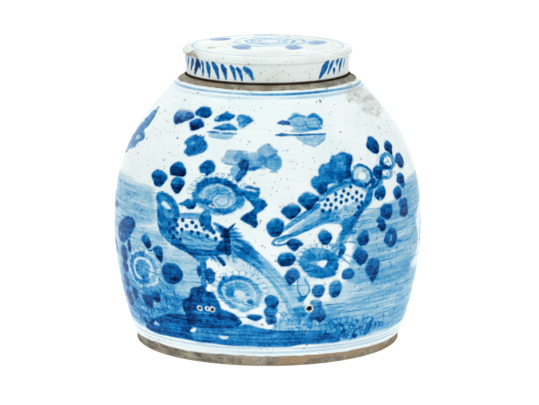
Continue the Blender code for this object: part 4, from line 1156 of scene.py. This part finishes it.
class Nodes:
    """Short ways to build a material's node tree."""

    def __init__(self, name):
        self.material = bpy.data.materials.new(name)
        self.material.use_nodes = True
        self.tree = self.material.node_tree
        self.shader = self.tree.nodes["Principled BSDF"]
        self.place = self.tree.nodes.new("ShaderNodeTexCoord").outputs["Object"]

    def put(self, socket, value):
        """Links a socket to another node's output, or sets it to a plain value."""
        if isinstance(value, bpy.types.NodeSocket):
            self.tree.links.new(value, socket)
        else:
            socket.default_value = value

    def math(self, operation, *values, clamp=False):
        """One step of arithmetic on outputs or numbers."""
        node = self.tree.nodes.new("ShaderNodeMath")
        node.operation, node.use_clamp = operation, clamp
        for socket, value in zip(node.inputs, values):
            self.put(socket, value)
        return node.outputs[0]

    def layer(self, name):
        """A painted layer of the piece."""
        node = self.tree.nodes.new("ShaderNodeAttribute")
        node.attribute_name = name
        return node.outputs["Fac"]

    def noise(self, scale, detail=2.0, roughness=0.5, seed=0.0):
        """Noise around 0.5. Scale is bumps to the metre, one number or one for each axis."""
        scale = scale if isinstance(scale, tuple) else (scale,) * 3
        mapping = self.tree.nodes.new("ShaderNodeMapping")
        self.put(mapping.inputs["Vector"], self.place)
        mapping.inputs["Scale"].default_value = scale
        mapping.inputs["Location"].default_value = (seed, seed * 1.7, seed * 0.6)
        node = self.tree.nodes.new("ShaderNodeTexNoise")
        self.put(node.inputs["Vector"], mapping.outputs[0])
        for name, value in (("Scale", 1.0), ("Detail", detail), ("Roughness", roughness)):
            node.inputs[name].default_value = value
        return node.outputs["Fac"]

    def cells(self, scale, seed=0.0):
        """Distance to the nearest of many scattered points, and a random number for each."""
        mapping = self.tree.nodes.new("ShaderNodeMapping")
        self.put(mapping.inputs["Vector"], self.place)
        mapping.inputs["Location"].default_value = (seed, seed, seed)
        node = self.tree.nodes.new("ShaderNodeTexVoronoi")
        self.put(node.inputs["Vector"], mapping.outputs[0])
        node.inputs["Scale"].default_value = scale
        split = self.tree.nodes.new("ShaderNodeSeparateColor")
        self.put(split.inputs[0], node.outputs["Color"])
        return node.outputs["Distance"], split.outputs[0]

    def between(self, value, low, high):
        """0 at low and 1 at high, with an S between."""
        node = self.tree.nodes.new("ShaderNodeMapRange")
        node.interpolation_type = "SMOOTHSTEP"
        for name, number in (("Value", value), ("From Min", low), ("From Max", high)):
            self.put(node.inputs[name], number)
        return node.outputs[0]

    def mix(self, share, first, second):
        """A colour this share of the way from first to second."""
        node = self.tree.nodes.new("ShaderNodeMix")
        node.data_type = "RGBA"
        for socket, value in ((node.inputs[0], share), (node.inputs[6], first), (node.inputs[7], second)):
            self.put(socket, value)
        return node.outputs[2]

    def ramp(self, value, stops):
        """A colour from stops of (position, colour)."""
        node = self.tree.nodes.new("ShaderNodeValToRGB")
        self.put(node.inputs[0], value)
        elements = node.color_ramp.elements
        while len(elements) < len(stops):
            elements.new(1.0)
        for element, (position, colour) in zip(elements, stops):
            element.position, element.color = position, colour
        return node.outputs[0]

    def bump(self, height, distance, normal=None):
        """A surface raised by height, which is this many metres deep at 1, over another bump where given."""
        node = self.tree.nodes.new("ShaderNodeBump")
        node.inputs["Strength"].default_value = 1.0
        node.inputs["Distance"].default_value = distance
        self.put(node.inputs["Height"], height)
        if normal is not None:
            self.put(node.inputs["Normal"], normal)
        return node.outputs[0]


# Cobalt under glaze from thin to thick: (pigment, colour).
THICKEST = 1.4
COBALT = (
    (0.0, srgb(228, 239, 240)), (0.1, srgb(200, 225, 238)), (0.22, srgb(150, 199, 222)),
    (0.36, srgb(94, 171, 214)), (0.52, srgb(28, 142, 202)), (0.68, srgb(0, 116, 187)),
    (0.85, srgb(0, 86, 157)), (1.02, srgb(0, 58, 122)), (1.2, srgb(0, 36, 88)), (THICKEST, srgb(0, 18, 54)),
)
# Greyed cobalt, by the brightness of the blue: (brightness, colour).
GREYED = ((0.0, srgb(24, 32, 50)), (0.25, srgb(112, 126, 160)), (0.8, srgb(212, 219, 230)))
# The two ends of each other colour, and the single ones.
SANDY_CLAY = srgb(139, 135, 121), srgb(189, 181, 163)
WARM_CLAY = srgb(168, 140, 108), srgb(194, 170, 138)
RUBBED = srgb(172, 171, 154), srgb(210, 211, 200)
# The iron colours also paint shade, and the pit colour also paints the shadow in the gap under the lid.
IRON_AND_SHADE = srgb(44, 30, 22), srgb(92, 62, 42)
STREAK, GRIT, PIT_AND_GAP_SHADOW = srgb(196, 204, 200), srgb(84, 76, 66), srgb(14, 12, 12)
JAR_WHITES = srgb(247, 254, 255), srgb(238, 248, 248)
LID_WHITES = srgb(241, 248, 244), srgb(222, 230, 225)
FLOOR_WHITES = srgb(158, 160, 162), srgb(166, 166, 166)


def brushed_pigment(n, mottle):
    """Cobalt as the fire leaves it: streaked, mottled and flecked, with level scratches in the washes."""
    cobalt = n.layer("cobalt")
    strokes = n.noise((55, 55, 620), 3.0, 0.55)
    flecks = n.between(n.noise(1100, 2.0, 0.5, 13.0), 0.6, 0.74)
    scratch = n.between(n.noise((42, 42, 1500), 1.0, 0.4, 11.0), 0.66, 0.74)
    uneven = n.math("ADD", n.math("MULTIPLY", strokes, 0.9), n.math("MULTIPLY", mottle, 1.2))
    uneven = n.math("ADD", uneven, n.math("MULTIPLY", n.noise(900, 2.0, 0.6, 17.0), 0.9))
    uneven = n.math("SUBTRACT", uneven, n.math("MULTIPLY", flecks, 0.34))
    pigment = n.math("MULTIPLY", cobalt, n.math("SUBTRACT", uneven, 0.47))
    in_wash = n.math("MULTIPLY", n.between(cobalt, 0.06, 0.24), n.between(cobalt, 1.3, 0.8))
    return n.math("ADD", pigment, n.math("MULTIPLY", n.math("MULTIPLY", scratch, in_wash), 0.3))


def cobalt_colour(n, pigment):
    """The blue of this much pigment, dulled where the grey layer holds some."""
    blue = n.ramp(n.math("DIVIDE", pigment, THICKEST), [(p / THICKEST, c) for p, c in COBALT])
    brightness = n.tree.nodes.new("ShaderNodeRGBToBW")
    n.put(brightness.inputs[0], blue)
    dull = n.mix(0.42, blue, n.ramp(brightness.outputs[0], GREYED))
    return n.mix(n.layer("grey"), blue, dull)


def white_ground(n, patches, whites):
    """The white under the painting: cloudy in patches, with faint level streaks."""
    ground = n.mix(n.between(patches, 0.35, 0.68), *whites)
    faint = n.between(n.noise((30, 30, 900), 2.0, 0.6, 5.0), 0.52, 0.8)
    return n.mix(n.math("MULTIPLY", faint, 0.16), ground, STREAK)


def spots(n, scale, seed, radius, core, left_out):
    """Round spots scattered over everything, with this share of the places left out."""
    near, lot = n.cells(scale, seed)
    return n.math("MULTIPLY", n.between(near, radius, core), n.math("GREATER_THAN", lot, left_out))


def dirt_shade_and_specks(n):
    """The layer of dirt and painted shade, with iron specks and finer dust added to it."""
    specks = n.math("MULTIPLY", spots(n, 105, 0.0, 0.1, 0.05, 0.5), 0.85)
    dust = n.math("MULTIPLY", spots(n, 240, 0.4, 0.15, 0.07, 0.3), 0.7)
    return n.math("MAXIMUM", n.math("MAXIMUM", n.layer("dirt_and_shade"), specks), dust)


def bare_clay(n, mottle, gritty):
    """Unglazed clay: sandy, warmer where the tan layer holds some, with dark grit."""
    sandy = n.mix(n.between(n.noise(85, 3.0, 0.6, 4.0), 0.38, 0.64), *SANDY_CLAY)
    warm = n.mix(n.layer("tan"), sandy, n.mix(mottle, *WARM_CLAY))
    return n.mix(n.between(gritty, 0.6, 0.74), warm, GRIT)


def porcelain(name, whites):
    """Glossy glaze over cobalt, with clay, rubbed wear, iron specks, pits and painted shade where the layers
    hold them.
    """
    n = Nodes(name)
    mottle = n.noise(330, 4.0, 0.65, 3.0)
    patches = n.noise(26, 3.0, 0.5, 7.0)
    gritty = n.noise(700, 4.0, 0.65, 9.0)
    clay = n.layer("clay")
    dirt_and_shade = dirt_shade_and_specks(n)
    rub = n.math("MULTIPLY", n.layer("tan"), n.math("ADD", n.math("MULTIPLY", mottle, 0.5), 0.7), clamp=True)
    pigment = brushed_pigment(n, mottle)
    painted = n.between(pigment, 0.0, 0.07)
    colour = n.mix(painted, white_ground(n, patches, whites), cobalt_colour(n, pigment))
    colour = n.mix(rub, colour, n.mix(n.noise(300, 3.0, 0.6, 2.0), *RUBBED))
    colour = n.mix(clay, colour, bare_clay(n, mottle, gritty))
    # Dirt and painted shade in iron brown, and near-black for the pits and the shadow painted in the gap
    # under the lid.
    colour = n.mix(dirt_and_shade, colour, n.mix(mottle, *IRON_AND_SHADE))
    colour = n.mix(n.between(dirt_and_shade, 0.95, 1.1), colour, PIT_AND_GAP_SHADOW)
    n.put(n.shader.inputs["Base Color"], colour)
    gloss = n.math("ADD", n.math("MULTIPLY", patches, 0.1), n.math("MULTIPLY", mottle, 0.06))
    gloss = n.math("ADD", gloss, n.math("MULTIPLY", rub, 0.3))
    rough = n.math("ADD", gloss, 0.07)
    rough = n.math("MAXIMUM", rough, n.math("MULTIPLY", clay, 0.82), clamp=True)
    n.put(n.shader.inputs["Roughness"], rough)
    n.shader.inputs["IOR"].default_value = 1.5
    n.shader.inputs["Specular IOR Level"].default_value = 0.03
    ripple = n.bump(n.noise(120, 2.0, 0.5, 6.0), 0.00022)
    pitted = n.bump(n.math("SUBTRACT", 1.0, dirt_and_shade), 0.00025, ripple)
    n.put(n.shader.inputs["Normal"], n.bump(n.math("MULTIPLY", gritty, clay), 0.0009, pitted))
    return n.material


# ---------------------------------------------------------------- the pieces


def jar_angles():
    """Degrees round the jar, finer over the front than behind."""
    front = np.linspace(-FRONT_HALF, FRONT_HALF, round(2 * FRONT_HALF / JAR_FRONT_STEP) + 1)
    back = np.linspace(FRONT_HALF, 360 - FRONT_HALF, round((360 - 2 * FRONT_HALF) / JAR_BACK_STEP) + 1)
    return np.concatenate([front, back[1:-1]])


def turned_jar():
    """The jar's surface, which of its vertices are outside, and the outer part of its section."""
    section = meridian("jar_body")
    top = int(section[:, 1].argmax())
    inner = resampled(section[: top + 1], lambda r, z: DETAIL_ROW_MM if z > MOUTH_LOW else HIDDEN_ROW_MM)

    def outer_row_mm(radius, height):
        return HIDDEN_ROW_MM if radius < RECESS_RADIUS and height < RECESS_HIGH else WALL_ROW_MM

    outer = resampled(section[top:], outer_row_mm)
    jar = Turned(np.vstack([inner[:-1], outer]), jar_angles())
    outside = np.zeros(jar.shape, bool)
    outside[len(inner) - 2 :] = True
    return jar, outside.ravel(), section[top:]


def degree_mm(section):
    """A function that gives the length in mm of one degree round the jar at a height."""
    line = rounded(section, False)
    order = line[:, 1].argsort()
    heights, radii = line[order, 1], line[order, 0]

    def length(up):
        return float(np.interp(min(max(up, PAINTED_LOW), PAINTED_HIGH), heights, radii)) * math.pi / 180

    return length


def colour_bare_parts(jar, outside, wall):
    """Clay, tan and dirt on what isn't painted: the mouth, the neck, the ledge and the foot, with a shadow
    painted on the ledge in the gap under the lid.
    """
    bare = ~np.isin(np.arange(len(jar.turn)), wall)
    inside_glaze = ~outside & (jar.height < INSIDE_GLAZE_TOP + 0.6 * turn_noise(jar, 9, ROUND_TALL, 201))
    painted_gap_shadow = (jar.height > GAP_SHADOW_HIGH) & (jar.radius < GAP_SHADOW_OUTER) & (jar.radius > GAP_SHADOW_INNER)
    jar.layers["clay"][bare & ~inside_glaze] = 1.0
    jar.layers["tan"][bare & outside & (jar.height < 3)] = 0.3
    jar.layers["dirt_and_shade"][bare & outside & (jar.height < 0.5)] = 0.25
    # Painted shadow: the ledge just outside the lid's skirt goes near-black, as the gap under the lid in
    # shade.
    jar.layers["dirt_and_shade"][painted_gap_shadow] = 1.05


def shape_jar(jar, outside, wall, unit_mm):
    """Throwing rings, ripples, the step down to the bare clay, and the craters with their raised lips."""
    clay = jar.layers["clay"]
    rings = np.sin(jar.height * 0.8 + 0.6 * turn_noise(jar, 60, 40, 202)) * 0.07
    ripples = 0.16 * turn_noise(jar, 26, 9, 203) + 0.3 * turn_noise(jar, 50, 60, 204) + rings - 0.5
    cut = -0.45 * clay + 0.12 * turn_noise(jar, 1.6, 2.4, 205) * clay
    thrown = outside & (jar.height > THROWN_LOW) & (jar.height < THROWN_HIGH)
    jar.raised(np.where(thrown, ripples + cut, 0.0))
    dents = np.zeros(len(jar.turn))
    for across, up, radius in CRATERS:
        gap = np.hypot((jar.turn - across) * unit_mm(up), jar.height - up)
        lip = 0.22 * smooth(gap, radius + 1.5, radius + 0.4)
        hole = 1.3 * smooth(gap, radius + 0.3, radius * 0.3)
        dents[wall] += (lip - hole)[wall]
    jar.raised(dents)


def make_jar():
    """The glazed jar, in place of the CAD's plain one."""
    jar, outside, section = turned_jar()
    on_wall = outside & (jar.radius > WALL_RADIUS) & (jar.height > WALL_LOW) & (jar.height < WALL_HIGH)
    wall = np.flatnonzero(on_wall)
    c = Canvas(jar.turn[wall], jar.height[wall], degree_mm(section))
    paint_front(c)
    paint_back(c)
    paint_rings(c)
    paint_faults(c)
    jar.painted(wall, c)
    colour_bare_parts(jar, outside, wall)
    shape_jar(jar, outside, wall, c.unit_mm)
    obj = jar.mesh("glazed_jar", porcelain("jar_porcelain", JAR_WHITES))
    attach(obj, "jar")
    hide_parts("jar_body")


def turned_lid():
    """The lid's surface, and which of its vertices are outside."""
    section = meridian("lid")
    low = int(section[:, 1].argmin())
    outer = resampled(section[: low + 1], lambda r, z: DETAIL_ROW_MM)
    inner = resampled(section[low:], lambda r, z: SKIRT_INSIDE_ROW_MM if r > SKIRT_INSIDE else HIDDEN_ROW_MM)
    lid = Turned(np.vstack([outer[:-1], inner]), np.arange(0, 360, LID_STEP)[: round(360 / LID_STEP)])
    lid.turn = wrapped(lid.turn)
    return lid, np.repeat(np.arange(lid.shape[0]) < len(outer) - 1, lid.shape[1])


def shape_lid(lid, outside):
    """A slight wave over the outside, and the chip cut into the rim where the tan layer holds some."""
    wave = 0.1 * turn_noise(lid, 30, ROUND_TALL, 211) + 0.06 * turn_noise(lid, 12, 5, 212) - 0.17
    lid.raised(np.where(outside, wave, 0.0))
    chip = lid.layers["tan"] * outside
    lid.raised(-0.9 * chip * (0.8 + 0.2 * turn_noise(lid, 1.5, 1.0, 213)))


def make_lid():
    """The glazed lid, in place of the CAD's plain one."""
    lid, outside = turned_lid()
    side = np.flatnonzero(outside & (lid.radius > LID_SIDE_RADIUS))
    skirt = Canvas(lid.turn[side], lid.height[side], lambda up: SKIRT_RADIUS * math.pi / 180)
    paint_skirt(skirt)
    lid.painted(side, skirt)
    flat = np.flatnonzero(outside & (lid.radius <= LID_SIDE_RADIUS))
    radians = np.radians(lid.turn[flat])
    top = Canvas(lid.radius[flat] * np.sin(radians), -lid.radius[flat] * np.cos(radians))
    paint_top(top)
    lid.painted(flat, top)
    lid.layers["clay"][~outside] = np.where(lid.height[~outside] < LID_BARE_HIGH, 1.0, 0.0)
    # The skirt's lowest part, where it sits on the jar, made darker.
    lid.layers["dirt_and_shade"][(lid.height < LID_SEAT_HIGH) & (lid.radius > LID_SEAT_RADIUS)] = 0.7
    shape_lid(lid, outside)
    obj = lid.mesh("glazed_lid", porcelain("lid_porcelain", LID_WHITES))
    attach(obj, "lid")
    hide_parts("lid")


# ---------------------------------------------------------------- the studio


def make_floor():
    """A white sweep: a floor that turns up into a wall behind the jar, with a glow that keeps it white."""
    n = Nodes("white_sweep")
    n.put(n.shader.inputs["Base Color"], n.mix(n.noise(3, 2.0), *FLOOR_WHITES))
    n.shader.inputs["Roughness"].default_value = 0.9
    n.shader.inputs["Emission Color"].default_value = (1, 1, 1, 1)
    n.shader.inputs["Emission Strength"].default_value = FLOOR_GLOW
    side = [(-FLOOR_HALF, 0.0)]
    for step in range(SWEEP_STEPS + 1):
        angle = math.radians(90 * step / SWEEP_STEPS)
        side.append((SWEEP_START + SWEEP_RADIUS * math.sin(angle), SWEEP_RADIUS * (1 - math.cos(angle))))
    side.append((SWEEP_START + SWEEP_RADIUS, SWEEP_HEIGHT))
    points = [(x * FLOOR_HALF, y, z) for y, z in side for x in (-1, 1)]
    mesh = bpy.data.meshes.new("floor")
    strips = [(2 * i, 2 * i + 1, 2 * i + 3, 2 * i + 2) for i in range(len(side) - 1)]
    mesh.from_pydata(points, [], strips)
    mesh.shade_smooth()
    mesh.materials.append(n.material)
    floor = bpy.data.objects.new("floor", mesh)
    bpy.context.scene.collection.objects.link(floor)


def make_light(name, place, width, watts):
    """A square softbox that faces the jar."""
    light = bpy.data.lights.new(name, "AREA")
    light.shape, light.size, light.energy = "SQUARE", width, watts
    obj = bpy.data.objects.new(name, light)
    obj.location = place
    obj.rotation_euler = (Vector(CAMERA_AIM) - Vector(place)).to_track_quat("-Z", "Y").to_euler()
    bpy.context.scene.collection.objects.link(obj)


def make_studio():
    """The floor, three softboxes and an even sky."""
    make_floor()
    for name, place, width, watts in LIGHTS:
        make_light(name, place, width, watts)
    world = bpy.data.worlds.new("studio")
    world.use_nodes = True
    background = world.node_tree.nodes["Background"]
    background.inputs["Color"].default_value = SKY_COLOUR
    background.inputs["Strength"].default_value = SKY_STRENGTH
    bpy.context.scene.world = world
    bpy.context.scene.view_settings.view_transform = "Standard"


def make_camera():
    """A long lens in front of the jar, a little above it."""
    data = bpy.data.cameras.new("camera")
    data.lens, data.sensor_width = CAMERA_LENS_MM, 36.0
    data.clip_start, data.clip_end = 0.05, 50.0
    camera = bpy.data.objects.new("camera", data)
    rise = math.radians(CAMERA_RISE)
    back = Vector((0, -math.cos(rise), math.sin(rise)))
    camera.location = Vector(CAMERA_AIM) + back * CAMERA_DISTANCE
    camera.rotation_euler = (-back).to_track_quat("-Z", "Y").to_euler()
    bpy.context.scene.collection.objects.link(camera)
    bpy.context.scene.camera = camera


make_camera()
make_studio()
make_jar()
make_lid()
